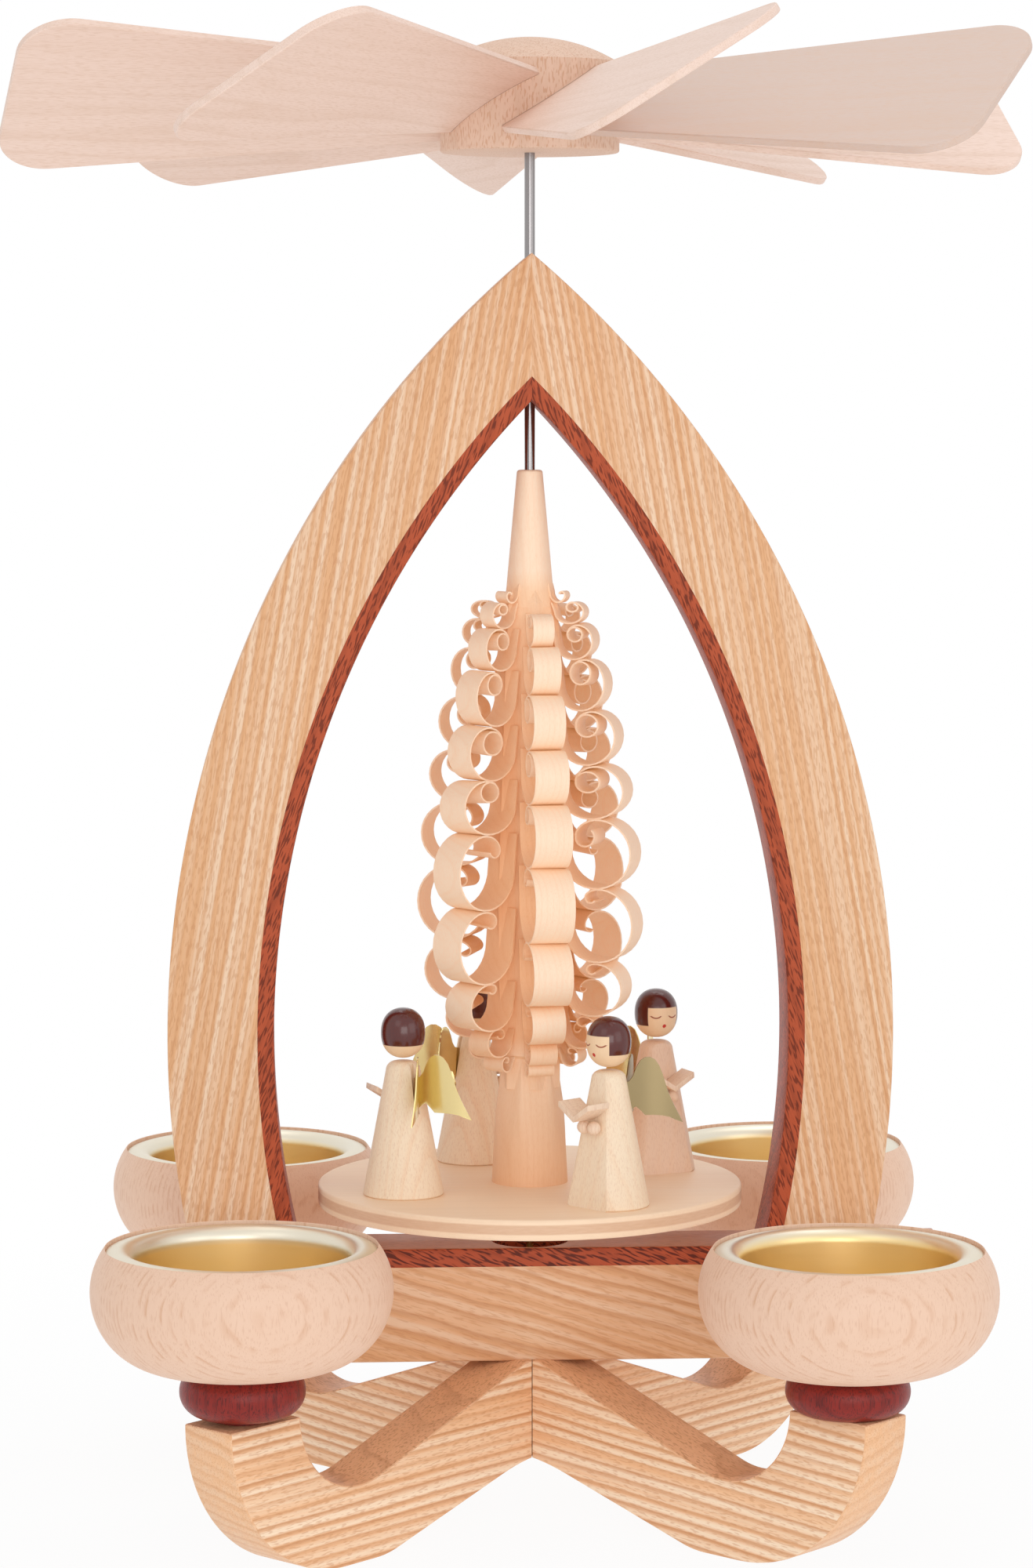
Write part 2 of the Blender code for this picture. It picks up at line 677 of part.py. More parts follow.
def spindle(parent):
    """Turntable, pivot pin and rotor shaft."""
    bore = pin_radius + bore_gap
    face_radius = turntable_radius - turntable_edge
    outline = [(bore, turntable_height), (face_radius, turntable_height),
               (turntable_radius, turntable_height + turntable_edge),
               (turntable_radius, turntable_top - turntable_edge), (face_radius, turntable_top),
               (bore, turntable_top)]
    piece("turntable", turned("turntable", outline, fine_segments), birch, parent=parent)
    pin_top = trunk_bottom + pin_depth_in_trunk
    pin = turned("pivot_pin", [(0, pin_tip), (pin_radius, pin_tip + pin_point_length), (pin_radius, pin_top),
                               (0, pin_top)], tiny_segments)
    piece("pivot_pin", pin, brass, parent=parent)
    shaft = cylinder("rotor_shaft", shaft_radius, tree_top_height - shaft_depth_in_tree,
                     hub_bottom_height + hub_bore_depth - seat_gap)
    piece("rotor_shaft", shaft, steel, parent=parent)


def wing_mesh():
    """Folded brass wing pair with the tab that sits in the angel's back."""
    shape = bmesh.new()
    half = wing_thickness / 2
    offset = half / math.sin(wing_half_angle)
    outline = [(reach * wing_span, height * wing_height) for reach, height in wing_outline_shares]
    low, high = outline[0][1], outline[-1][1]

    def row(side, shift):
        """Free points of one wing's outline on one face of the sheet."""
        points = []
        for reach, height in outline[1:-1]:
            aside = side * reach * math.sin(wing_half_angle)
            points.append(shape.verts.new((shift - reach * math.cos(wing_half_angle), aside, height)))
        return points

    back_low, back_high = shape.verts.new((-offset, 0, low)), shape.verts.new((-offset, 0, high))
    tab = {}
    for side in (1, -1):
        root = offset - half / math.tan(wing_half_angle)
        tab[side] = [shape.verts.new((x, side * half, height)) for x in (root, root + wing_tab_depth)
                     for height in (low, high)]
        back = [back_low] + row(side, -offset) + [back_high]
        front = [tab[side][0]] + row(side, offset) + [tab[side][1]]
        shape.faces.new(back)
        shape.faces.new(front)
        for i in range(len(back) - 1):
            shape.faces.new((back[i], back[i + 1], front[i + 1], front[i]))
    left, right = tab[1], tab[-1]
    shape.faces.new((left[0], right[0], back_low))
    shape.faces.new((left[1], right[1], back_high))
    shape.faces.new((left[2], left[3], right[3], right[2]))
    shape.faces.new((left[0], left[1], left[3], left[2]))
    shape.faces.new((right[0], right[1], right[3], right[2]))
    shape.faces.new((left[0], left[2], right[2], right[0]))
    shape.faces.new((left[1], left[3], right[3], right[1]))
    return finish("wings", shape)


def book_mesh():
    """Open songbook: two pages in a V, the spine pointing away from the chest."""
    run = book_page_width * math.cos(book_rise_angle)
    rise = book_page_width * math.sin(book_rise_angle)
    drop = book_thickness / math.cos(book_rise_angle)
    outline = [(0, 0), (run, rise), (run, rise + drop), (0, drop), (-run, rise + drop), (-run, rise)]
    return prism("book", outline, book_length)


def angels(parent):
    """Four singing angels round the tree, each built once and placed four times."""
    stand = turntable_top + seat_gap
    outline = [(0, 0), (angel_foot_radius, 0), (angel_shoulder_radius, angel_shoulder_height),
               (angel_neck_radius, angel_shoulder_height + neck_socket),
               (angel_neck_radius, angel_body_height), (0, angel_body_height)]
    body = turned("angel_body", outline, bowl_segments)
    head_bottom = angel_body_height + seat_gap
    head_outline = arc((0, head_bottom + head_height / 2), head_radius, head_height / 2,
                       -math.pi / 2, math.pi / 2, 8)
    head_outline = [(0, head_bottom)] + head_outline[1:-1] + [(0, head_bottom + head_height)]
    head = turned("angel_head", head_outline, small_segments)
    hand = turned("angel_hand", [(0, -hand_radius)]
                  + arc((0, 0), hand_radius, hand_radius, -math.pi / 2, math.pi / 2, 4)[1:-1]
                  + [(0, hand_radius)], tiny_segments)
    wings = wing_mesh()
    book = book_mesh()
    lean = math.atan((angel_front_foot - angel_front_top) / angel_shoulder_height)
    lump = angel_foot_radius + cut_overrun
    front = box("front_cutter", (0, -lump, -cut_overrun), (lump, lump, angel_body_height + cut_overrun))
    back_lean = (angel_foot_radius - angel_shoulder_radius) / angel_shoulder_height

    def front_at(height):
        """Distance of the front facet from the middle."""
        return angel_front_foot - height * math.tan(lean)

    def back_at(height):
        """Radius of the gown."""
        return angel_foot_radius - height * back_lean

    slot_top = angel_shoulder_height
    slot_floor = back_at(wing_fold_height) - wing_slot_depth
    slot = box("slot_cutter", (-lump, -wing_slot_width / 2, slot_top - wing_slot_length),
               (-slot_floor, wing_slot_width / 2, angel_shoulder_height))
    under_book = book_height - hand_radius - seat_gap
    for number, angle in enumerate(angel_angles):
        name = f"angel_{number + 1}"
        circle = angel_circle * angel_circle_shares[number]
        place = (circle * math.cos(angle), circle * math.sin(angle), stand)
        carrier = empty(f"{name}_place", place, angel_headings[number], parent)
        gown = piece(f"{name}_body", body, lime_wood, parent=carrier)
        cut(gown, front, (angel_front_foot, 0, 0), parent=carrier, lean=-lean)
        cut(gown, slot, turn=wing_turns[number], parent=carrier)
        piece(f"{name}_head", head, hair_brown, parent=carrier)
        chest = front_at(book_height)
        piece(f"{name}_book", book, birch, (chest + seat_gap + book_length / 2, 0, book_height),
              math.pi / 2, carrier)
        for side, sign in (("left", 1), ("right", -1)):
            out = front_at(under_book) + seat_gap + hand_radius
            hand_place = (out, sign * (hand_radius + seat_gap / 2), under_book)
            piece(f"{name}_hand_{side}", hand, birch, hand_place, parent=carrier)
        back = Vector((-back_at(wing_fold_height) - seat_gap, 0, wing_fold_height))
        back.rotate(Matrix.Rotation(wing_turns[number], 3, "Z"))
        piece(f"{name}_wings", wings, brass, back, wing_turns[number], carrier)


def rotor(parent):
    """Hub with its slots, and the eight blades."""
    edge = arc((hub_radius - hub_edge, hub_bottom_height + hub_edge), hub_edge, hub_edge, -math.pi / 2, 0, 1)
    reach = math.asin(hub_radius / dome_radius)
    dome = arc((0, hub_side_top + hub_dome_height - dome_radius), dome_radius, dome_radius,
               math.pi / 2 - reach, math.pi / 2, 4)
    bore = shaft_radius + bore_gap
    bore_top = hub_bottom_height + hub_bore_depth
    outline = [(0, bore_top), (bore, bore_top), (bore, hub_bottom_height)] + edge + dome[:-1]
    outline.append((0, hub_side_top + hub_dome_height))
    hub = piece("rotor_hub", turned("rotor_hub", outline, fine_segments), birch, parent=parent)

    slot_height = hub_bottom_height + slot_rise
    slot_half = blade_thickness / 2 + bore_gap
    slot = box("blade_slot", (blade_root - seat_gap, -blade_root_width / 2 - rotor_slot_margin, -slot_half),
               (hub_radius + cut_overrun, blade_root_width / 2 + rotor_slot_margin, slot_half))

    slope = (blade_tip_width - blade_root_width) / 2 / (blade_tip - blade_root)
    lean = math.atan(slope)
    inset = blade_corner * (1 - math.sin(lean)) / math.cos(lean)
    corner = arc((blade_tip - blade_corner, blade_tip_width / 2 - inset), blade_corner, blade_corner,
                 0, math.pi / 2 + lean, 4)
    half = corner + [(blade_root, blade_root_width / 2)]
    outline = half + [(x, -y) for x, y in reversed(half)]
    blade = prism("rotor_blade", outline, blade_thickness)
    blade.transform(Matrix.Rotation(math.pi / 2, 4, "X"))
    for number, pitch in enumerate(blade_pitches):
        angle = first_blade_angle + math.tau * number / len(blade_pitches)
        place = (0, 0, slot_height)
        cut(hub, slot, place, angle, parent, pitch)
        piece(f"rotor_blade_{number + 1}", blade, birch, place, angle, parent, pitch)


def main():
    """Clear the scene and build every piece."""
    for thing in list(bpy.data.objects):
        bpy.data.objects.remove(thing)
    foot_beams()
    rail()
    arch()
    bowls()
    bearing()
    carousel = empty("carousel")
    spindle(carousel)
    shaving_tree(carousel)
    angels(carousel)
    rotor(carousel)


main()
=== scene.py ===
"""Dresses the candle carousel: its turned, sawn and shaved wooden pieces, metal cups and studio."""
import math
import random

import bmesh
import bpy
from bpy.props import FloatProperty, FloatVectorProperty, IntProperty, PointerProperty
from mathutils import Matrix, Vector


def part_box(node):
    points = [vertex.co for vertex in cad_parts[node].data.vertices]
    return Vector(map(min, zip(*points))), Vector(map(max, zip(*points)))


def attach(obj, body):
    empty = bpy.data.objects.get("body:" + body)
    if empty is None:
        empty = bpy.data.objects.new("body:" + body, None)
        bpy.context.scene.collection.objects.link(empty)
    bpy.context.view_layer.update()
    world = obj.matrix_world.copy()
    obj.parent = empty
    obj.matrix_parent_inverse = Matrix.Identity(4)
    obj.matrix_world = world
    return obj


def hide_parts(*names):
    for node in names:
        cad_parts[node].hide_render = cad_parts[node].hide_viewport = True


bl_info = {
    "name": "Candle Carousel",
    "version": (1, 0, 0),
    "blender": (4, 5, 0),
    "location": "View3D > Sidebar > Carousel",
    "description": "Builds the detailed pieces and finishes of a wooden candle carousel",
    "category": "Object",
}

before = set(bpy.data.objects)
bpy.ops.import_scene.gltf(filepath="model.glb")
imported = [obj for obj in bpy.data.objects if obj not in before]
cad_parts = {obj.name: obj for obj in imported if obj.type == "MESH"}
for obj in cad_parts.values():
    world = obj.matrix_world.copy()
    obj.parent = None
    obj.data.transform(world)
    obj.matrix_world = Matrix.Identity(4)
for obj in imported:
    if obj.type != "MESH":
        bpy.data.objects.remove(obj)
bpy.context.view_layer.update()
QUARTER = math.pi / 2
CORNERS = ("front_left", "front_right", "back_right", "back_left")
# The lifts and turns follow the order of the corners; a lamp is its name, place, size and power.
DISC_LIFTS = (0.0010, -0.0001, 0, 0)
BOWL_LIFTS = (0.0009, -0.0008, 0, 0)
BOWL_TURNS = (-79, -87, 60, 120)
LAMPS = (("key", (-0.9, -1.3, 1.2), 0.9, 1.5), ("fill", (1.2, -1.1, 0.5), 1.0, 2.5),
         ("low", (0.1, -1.5, 0.2), 0.9, 5.5), ("top", (0.1, 0.3, 1.6), 1.2, 5.5))
LAMPS_LOOK_AT = Vector((0, 0, 0.12))


def linear(red, green, blue):
    """Scene colour from a 0 to 255 screen colour."""
    return tuple(((v / 255 + 0.055) / 1.055) ** 2.4 if v > 10 else v / 3295 for v in (red, green, blue))


def length(name, description, default):
    """Length property in metres."""
    return FloatProperty(name=name, description=description, default=default, unit="LENGTH", precision=5)


def turn(name, description, degrees):
    """Angle property."""
    return FloatProperty(name=name, description=description, default=math.radians(degrees), subtype="ANGLE")


def tint(name, description, *screen):
    """Colour property from a 0 to 255 screen colour."""
    return FloatVectorProperty(name=name, description=description, default=linear(*screen),
                               subtype="COLOR", size=3, min=0, max=1)


FOOT_PALE = linear(253, 228, 199)
# The next two colours are painted shade multiplied onto the tree: darker low on the trunk, and darker and warmer near
# the core between the curls.
TREE_PAINTED_SHADE, CORE_PAINTED_SHADE = linear(243, 220, 202), linear(250, 228, 206)
SECOND_GOWN, HAND_WOOD, DULL_BRASS = linear(240, 208, 182), linear(244, 216, 190), linear(158, 140, 104)
SKIN, SKIN_GRAIN = linear(246, 214, 176), linear(232, 190, 148)
HUB_WOOD = linear(230, 196, 174)


class StandSizes(bpy.types.PropertyGroup):
    """Sizes of the foot, rail and arch."""
    board: length("Foot board", "Thickness of the two foot beams", 0.012)
    reach: length("Arm reach", "Axis to the end of an arm", 0.0874)
    end_flat: length("End flat", "Length of the flat under a disc", 0.0179)
    end_round: length("End round", "Radius under the arm's end", 0.030)
    stand_flat: length("Standing flat", "Length of the flat that stands on the table", 0.008)
    stand_round: length("Standing round", "Round between the flat and the rising edge", 0.020)
    middle_round: length("Middle round", "Easing of the underside at the crossing", 0.051)
    valley_round: length("Valley round", "Round of the dip beside a disc", 0.0155)
    top_rise: FloatProperty(name="Top rise", description="Slope of the upper edge", default=0.355)
    under_rise: FloatProperty(name="Under rise", description="Slope of the lower edge", default=0.29)
    arch_radius: length("Arch radius", "Outer curve of each arch half", 0.1965)
    arch_wide: length("Widest height", "Height where the arch is widest", 0.093)
    arch_member: length("Arch width", "Width of the pale arch board", 0.0172)
    arch_strip: length("Strip width", "Width of the red strip inside the arch", 0.0032)
    easing: length("Edge easing", "Rounding of the sawn edges", 0.00035)


class BowlSizes(bpy.types.PropertyGroup):
    """Sizes of the discs, bowls and cups."""
    disc: length("Disc radius", "Outer radius of a disc", 0.01155)
    disc_face: length("Disc face", "Radius of the disc's flat faces", 0.00715)
    foot: length("Bowl foot", "Radius of the flat under a bowl", 0.0141)
    belly: length("Bowl round", "Radius of the bowl's round side", 0.0135)
    cup: length("Cup radius", "Outer radius of the metal cup", 0.0203)
    flange: length("Flange radius", "Radius of the cup's flange", 0.02475)
    sheet: length("Cup sheet", "Thickness of the cup's metal", 0.0005)


class TreeSizes(bpy.types.PropertyGroup):
    """Sizes of the shaving tree."""
    shaving: length("Shaving thickness", "Thickness of one shaving", 0.00032)
    reach: length("Reach", "Widest reach of the curls", 0.0216)
    width: length("Shaving width", "Width of the widest shavings", 0.0090)
    core: length("Core", "Half the width of the six-sided core at its widest", 0.0075)
    top: length("Curls top", "Height of the top of the curls", 0.1819)
    bottom: length("Curls bottom", "Height of the bottom of the curls", 0.0849)
    steps: IntProperty(name="Steps", description="Steps in one full turn of a curl", default=30)


class FigureSizes(bpy.types.PropertyGroup):
    """Sizes of the angels and the rotor."""
    gown: length("Gown foot", "Radius of the gown's foot", 0.00775)
    shoulder: length("Shoulder", "Radius of the shoulders", 0.0031)
    head: length("Head", "Half the width of the head", 0.00425)
    wing: length("Wing span", "Reach of one wing", 0.0112)
    wing_rise: length("Wing height", "Size of one wing from tip to top", 0.0123)
    wing_spread: turn("Wing spread", "Angle between a wing and straight back", 38)
    hub: length("Hub", "Radius of the hub", 0.0171)
    blade: length("Blade thickness", "Thickness of a blade", 0.0015)
    blade_root: length("Blade root", "Axis to the inner end of a blade", 0.0123)
    blade_tip: length("Blade tip", "Axis to the outer end of a blade", 0.1002)
    root_width: length("Root width", "Width of a blade at its inner end", 0.0212)
    tip_width: length("Tip width", "Width of a blade at its outer end", 0.041)
    blade_corner: length("Blade corner", "Round of a blade's outer corners", 0.0095)


class Finishes(bpy.types.PropertyGroup):
    """Colours of the woods, metals and paint."""
    ash: tint("Ash", "Body colour of the ash boards", 228, 176, 130)
    ash_pale: tint("Pale ash", "Pale streaks in the ash", 242, 213, 184)
    ash_line: tint("Ash lines", "Dark growth lines in the ash", 198, 136, 88)
    foot: tint("Foot", "Body colour of the foot's boards", 243, 193, 148)
    foot_line: tint("Foot lines", "Growth lines in the foot's boards", 204, 141, 92)
    ash_slope: tint("Ash slopes", "Sawn upper faces of the arms", 240, 190, 150)
    ash_slope_line: tint("Slope lines", "Darker blotches on the arms' upper faces", 180, 124, 84)
    padauk: tint("Red strip", "Body colour of the red strips", 184, 86, 54)
    padauk_top: tint("Strip top", "Sanded top of the rail's red strip", 202, 142, 116)
    # Painted sheen: the red strip's upward faces are drawn in this paler colour for the light they reflect from
    # above.
    padauk_dark: tint("Strip pores", "Dark pores in the red strips", 84, 32, 22)
    beech: tint("Beech", "Body colour of the bowls", 237, 201, 176)
    beech_line: tint("Beech lines", "Growth lines in the bowls", 212, 158, 120)
    beech_fleck: tint("Beech flecks", "Short flecks in the bowls", 206, 154, 120)
    disc: tint("Disc", "Body colour of the red discs", 140, 38, 30)
    disc_dark: tint("Disc streaks", "Dark streaks in the discs", 70, 20, 20)
    birch: tint("Ply", "Pale face of the turntable", 252, 222, 190)
    birch_core: tint("Ply core", "Middle layer of the turntable", 224, 182, 148)
    shaving: tint("Shavings", "Colour of the tree", 252, 224, 198)
    # Painted glow: the shavings emit this colour weakly, in place of light shining through them.
    glow: tint("Glow", "Light that comes through the shavings", 255, 190, 100)
    shaving_line: tint("Shaving lines", "Fine fibres in the tree", 240, 196, 156)
    blade: tint("Blade", "Colour of the rotor blades", 240, 214, 200)
    blade_line: tint("Blade lines", "Fine fibres in the blades", 218, 184, 160)
    gown: tint("Gown", "Colour of the gowns", 248, 226, 198)
    hair: tint("Hair", "Glossy hair paint", 80, 25, 20)
    mouth: tint("Mouth", "Mouth paint", 200, 50, 40)
    eye: tint("Eyes", "Thin arcs of the closed eyes", 150, 60, 30)
    cup: tint("Cup", "Gold-tone metal inside the cups", 240, 214, 158)
    # Painted reflection: the flange is the same metal sheet as the cup, drawn in this paler colour for the white
    # light it reflects.
    flange: tint("Flange", "Paler metal of the flange", 226, 218, 200)
    brass: tint("Brass", "Wings and pins", 228, 206, 148)
    steel: tint("Steel", "Rotor shaft", 150, 146, 146)


class StageSettings(bpy.types.PropertyGroup):
    """Camera, floor and light."""
    lens: FloatProperty(name="Lens", description="Focal length in millimetres", default=100.8)
    shift: FloatProperty(name="Shift", description="Sideways shift of the picture", default=-0.0085)
    place: FloatVectorProperty(name="Camera place", description="Where the camera stands",
                               default=(-0.04658, -0.84407, 0.2175), subtype="TRANSLATION", size=3)
    tilt: turn("Tilt", "Camera tilt from straight down", 84.87)
    swing: turn("Swing", "Camera turn about the upright", -3.16)
    world: FloatProperty(name="World light", description="Strength of the even light", default=0.66)
    shadow: FloatProperty(name="Paper white", description="How far the floor's shadow is washed out", default=0.93)
    table: FloatProperty(name="Table light", description="How far the paper lights the underside", default=0.7)


GROUPS = (StandSizes, BowlSizes, TreeSizes, FigureSizes, Finishes, StageSettings)


def settings(kind):
    """The scene's settings of one kind."""
    return getattr(bpy.context.scene, "carousel_" + kind)


class Value:
    """One socket of a shader tree, with its maths written as expressions."""

    def __init__(self, shader, socket):
        self.shader = shader
        self.socket = socket

    def maths(self, operation, *others):
        """Math node on this value and others."""
        return self.shader.node("ShaderNodeMath", {"operation": operation},
                                dict(enumerate((self,) + others)))

    def __add__(self, other):
        return self.maths("ADD", other)

    __radd__ = __add__

    def __mul__(self, other):
        return self.maths("MULTIPLY", other)

    __rmul__ = __mul__

    def __sub__(self, other):
        return self.maths("SUBTRACT", other)

    def __rsub__(self, other):
        return self.shader.node("ShaderNodeMath", {"operation": "SUBTRACT"}, {0: other, 1: self})

    def __truediv__(self, other):
        return self.maths("DIVIDE", other)

    def __abs__(self):
        return self.maths("ABSOLUTE")

    def root(self):
        """Square root."""
        return self.maths("SQRT")

    def fraction(self):
        """Part after the point."""
        return self.maths("FRACT")

    def whole(self):
        """Part before the point."""
        return self.maths("FLOOR")

    def both(self, other):
        """Smaller of two values, which is where both masks hold."""
        return self.maths("MINIMUM", other)

    def either(self, other):
        """Larger of two values, which is where one of two masks holds."""
        return self.maths("MAXIMUM", other)

    def above(self, edge, soft):
        """Mask that rises from 0 to 1 over a soft edge."""
        return self.shader.node("ShaderNodeMapRange", {"clamp": True},
                                {"Value": self, "From Min": edge - soft, "From Max": edge + soft})

    def below(self, edge, soft):
        """Mask that falls from 1 to 0 over a soft edge."""
        return 1 - self.above(edge, soft)


class Shader:
    """Node tree of a new material or of a world, and the nodes that feed its shader."""

    def __init__(self, name, owner=None):
        self.material = owner or bpy.data.materials.new(name)
        self.material.use_nodes = True
        self.tree = self.material.node_tree
        self.principled = self.tree.nodes.get("Principled BSDF")

    def node(self, kind, options=None, inputs=None, outlet=0):
        """Any node, from its type, its settings, and the values or links of its sockets."""
        made = self.tree.nodes.new(kind)
        for key, value in (options or {}).items():
            if key == "stops":
                ramp = made.color_ramp
                for position, colour in value[2:]:
                    ramp.elements.new(position).color = colour
                for element, (position, colour) in zip((ramp.elements[0], ramp.elements[-1]), value[:2]):
                    element.position, element.color = position, colour
            else:
                setattr(made, key, value)
        for key, value in (inputs or {}).items():
            self.plug(made.inputs[key], value)
        return Value(self, made.outputs[outlet])

    def plug(self, socket, value):
        """Link or set one input."""
        if isinstance(value, Value):
            self.tree.links.new(value.socket, socket)
        elif hasattr(value, "__len__") and socket.type == "RGBA" and len(value) == 3:
            socket.default_value = (*value, 1)
        else:
            socket.default_value = value

    def place(self, shift=(0, 0, 0), rotation=(0, 0, 0)):
        """Object coordinates, moved by shift and then turned into the pattern's own axes."""
        spot = self.node("ShaderNodeTexCoord", outlet="Object")
        moved = self.node("ShaderNodeVectorMath", {"operation": "SUBTRACT"}, {0: spot, 1: shift})
        inverse = Matrix.Rotation(0, 4, "X")
        for angle, axis in zip(rotation, "XYZ"):
            inverse = Matrix.Rotation(angle, 4, axis) @ inverse
        return self.node("ShaderNodeMapping", {"vector_type": "POINT"},
                         {"Vector": moved, "Rotation": tuple(inverse.inverted().to_euler("XYZ"))})

    def outlets(self, kind, names, inputs=None):
        """Several sockets of one new node."""
        outputs = self.node(kind, None, inputs).socket.node.outputs
        return [Value(self, outputs[name]) for name in names]

    def split(self, vector):
        """The three parts of a vector."""
        return self.outlets("ShaderNodeSeparateXYZ", "XYZ", {0: vector})

    def scaled(self, vector, factors):
        """Vector stretched along its axes."""
        return self.node("ShaderNodeVectorMath", {"operation": "MULTIPLY"}, {0: vector, 1: factors})

    def noise(self, vector, factors, detail=2.0, roughness=0.5):
        """Noise from 0 to 1, with so many swings to a metre along each axis."""
        return self.node("ShaderNodeTexNoise", None, {"Vector": self.scaled(vector, factors), "Scale": 1.0,
                                                      "Detail": detail, "Roughness": roughness})

    def mix(self, factor, first, second, blend="MIX"):
        """Mix of two colours."""
        return self.node("ShaderNodeMix", {"data_type": "RGBA", "blend_type": blend},
                         {0: factor, 6: first, 7: second}, outlet=2)

    def seen(self):
        """Mask of the rays that come from the camera, a reflection or glass."""
        camera, glossy, glass = self.outlets(
            "ShaderNodeLightPath", ("Is Camera Ray", "Is Glossy Ray", "Is Transmission Ray"))
        return camera.either(glossy).either(glass)

    def finish(self, colour, roughness, bump=None, strength=0.2, distance=0.0001, **plain):
        """Feed the Principled shader; plain values go straight to their sockets."""
        self.plug(self.principled.inputs["Base Color"], colour)
        self.plug(self.principled.inputs["Roughness"], roughness)
        for key, value in plain.items():
            self.plug(self.principled.inputs[key.replace("_", " ")], value)
        if bump is not None:
            normal = self.node("ShaderNodeBump", None, {"Height": bump, "Strength": strength,
                                                        "Distance": distance})
            self.plug(self.principled.inputs["Normal"], normal)
        return self.material


def wood(name, body, line, fleck=None, ring=0.0017, shift=(0, 0, 0), rotation=(0, 0, 0), pith=0.0, wave=0.8,
         line_amount=0.6, fleck_amount=0.5, fleck_size=(0.0022, 0.00028), fleck_edge=0.62, pale=None,
         pale_amount=0.8, streak=0.35, roughness=0.5, relief=0.25, wander=(18, 70, 70), broken=0.0, shade=None,
         core=None, gloss=0.4):
    """Wood with its fibres along the pattern's X axis and its growth rings stacked along Z.

    A shade darkens what lies below a soft height, as painted shade, and a core darkens and warms what lies near the
    upright, as painted warm shade.
    """
    shader = Shader(name)
    spot = shader.place(shift, rotation)
    y, z = shader.split(spot)[1:]
    depth = (y * y + (z + pith) * (z + pith)).root() if pith else z
    drift = shader.noise(spot, wander, 2.0)
    fine = shader.noise(spot, (30, 420, 420), 2.0)
    rings = depth / ring + (drift - 0.5) * (wave * 6) + (fine - 0.5) * 0.35
    year = rings.fraction()
    band = shader.node("ShaderNodeValToRGB", {"stops": [(0, (0.9, 0.9, 0.9, 1)), (1, (1, 1, 1, 1)),
                                                       (0.07, (0.25, 0.25, 0.25, 1)), (0.2, (0, 0, 0, 1)),
                                                       (0.6, (0.06, 0.06, 0.06, 1)), (0.88, (0.8, 0.8, 0.8, 1))]},
                       {"Fac": year})
    strength = shader.node("ShaderNodeTexWhiteNoise", {"noise_dimensions": "1D"}, {"W": rings.whole()})
    if broken:
        gaps = shader.noise(spot, (420, 420, 420), 0.0).above(0.54, 0.08)
        band = band * (gaps * broken + (1 - broken))
    dash = shader.noise(spot, (1 / fleck_size[0], 1 / fleck_size[1], 1 / fleck_size[1]), 0.0)
    dash = dash.above(fleck_edge, 0.06)
    fibre = shader.noise(spot, (45, 3200, 3200), 3.0, 0.6)
    colour = body
    if pale:
        streaks = shader.noise(spot, (3, 650, 650), 2.0, 0.6)
        early = year.above(0.1, 0.1).both(year.below(0.62, 0.16)) * (strength * 0.7 + 0.3)
        colour = shader.mix(((streaks - 0.47) * 2.6 + early * 0.75).both(1).either(0) * pale_amount, colour, pale)
    colour = shader.mix(band * (strength * 0.75 + 0.35) * line_amount, colour, line)
    colour = shader.mix((fibre - 0.5).either(0) * (streak * 2), colour, line)
    colour = shader.mix(dash * fleck_amount, colour, fleck or line)
    # Painted shade: a darker tone multiplied in below a soft height.
    if shade:
        low, high, deep = shade
        height = shader.split(shader.place())[2]
        colour = shader.mix(height.below((low + high) / 2, (high - low) / 2), colour, deep, "MULTIPLY")
    # Painted warm shade: a darker, warmer tone multiplied in near the upright, inside a radius that widens downwards,
    # between two heights.
    if core:
        low, high, slope, least, most, deep = core
        x, y, z = shader.split(shader.place())
        edge = ((high - z) * slope + least).both(most)
        inside = ((x * x + y * y).root() / edge).below(1, 0.3)
        inside = inside.both(z.above(low, 0.002)).both(z.below(high, 0.003))
        colour = shader.mix(inside, colour, deep, "MULTIPLY")
    return shader.finish(colour, fibre * 0.12 + (roughness - 0.06), bump=fibre - dash * 0.6,
                         strength=relief, distance=0.00012, Specular_IOR_Level=gloss)


def painted_glow(material, colour, strength):
    """Painted glow: a weak warm emission in place of the light that comes through a thin pale wood."""
    inputs = material.node_tree.nodes["Principled BSDF"].inputs
    inputs["Emission Color"].default_value = (*colour, 1)
    inputs["Emission Strength"].default_value = strength


def metal(name, colour, roughness, second=None, edge=0.0, relief=0.05, grain=(400, 400, 3000)):
    """Satin or polished metal with faint drawn lines; a second colour lies above a height."""
    shader = Shader(name)
    spot = shader.place()
    lines = shader.noise(spot, grain, 2.0)
    smudge = shader.noise(spot, (90, 90, 90), 2.0)
    tone = colour
    if second is not None:
        tone = shader.mix(shader.split(spot)[2].above(edge, 0.0006), colour, second)
    tone = shader.mix((smudge - 0.4).either(0) * 0.25, tone, tuple(c * 0.82 for c in colour))
    return shader.finish(tone, lines * 0.1 + smudge * 0.08 + (roughness - 0.09), bump=lines, strength=relief,
                         distance=0.00005, Metallic=1.0)


def mesh_of(name, shape):
    """Mesh from a bmesh, which is freed."""
    mesh = bpy.data.meshes.new(name)
    shape.to_mesh(mesh)
    shape.free()
    return mesh


def placed(name, data):
    """New object in the scene."""
    made = bpy.data.objects.new(name, data)
    bpy.context.scene.collection.objects.link(made)
    return made


def finish_piece(name, shape, looks, body, node, slot, smooth=40):
    """Object from a finished bmesh, riding on its body and standing for its CAD node."""
    made = placed(name, mesh_of(name, shape))
    for look in looks if isinstance(looks, tuple) else (looks,):
        made.data.materials.append(look)
    for face in made.data.polygons:
        face.use_smooth = True
    made.data.set_sharp_from_angle(angle=math.radians(smooth))
    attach(made, body)
    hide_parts(node)
    return made


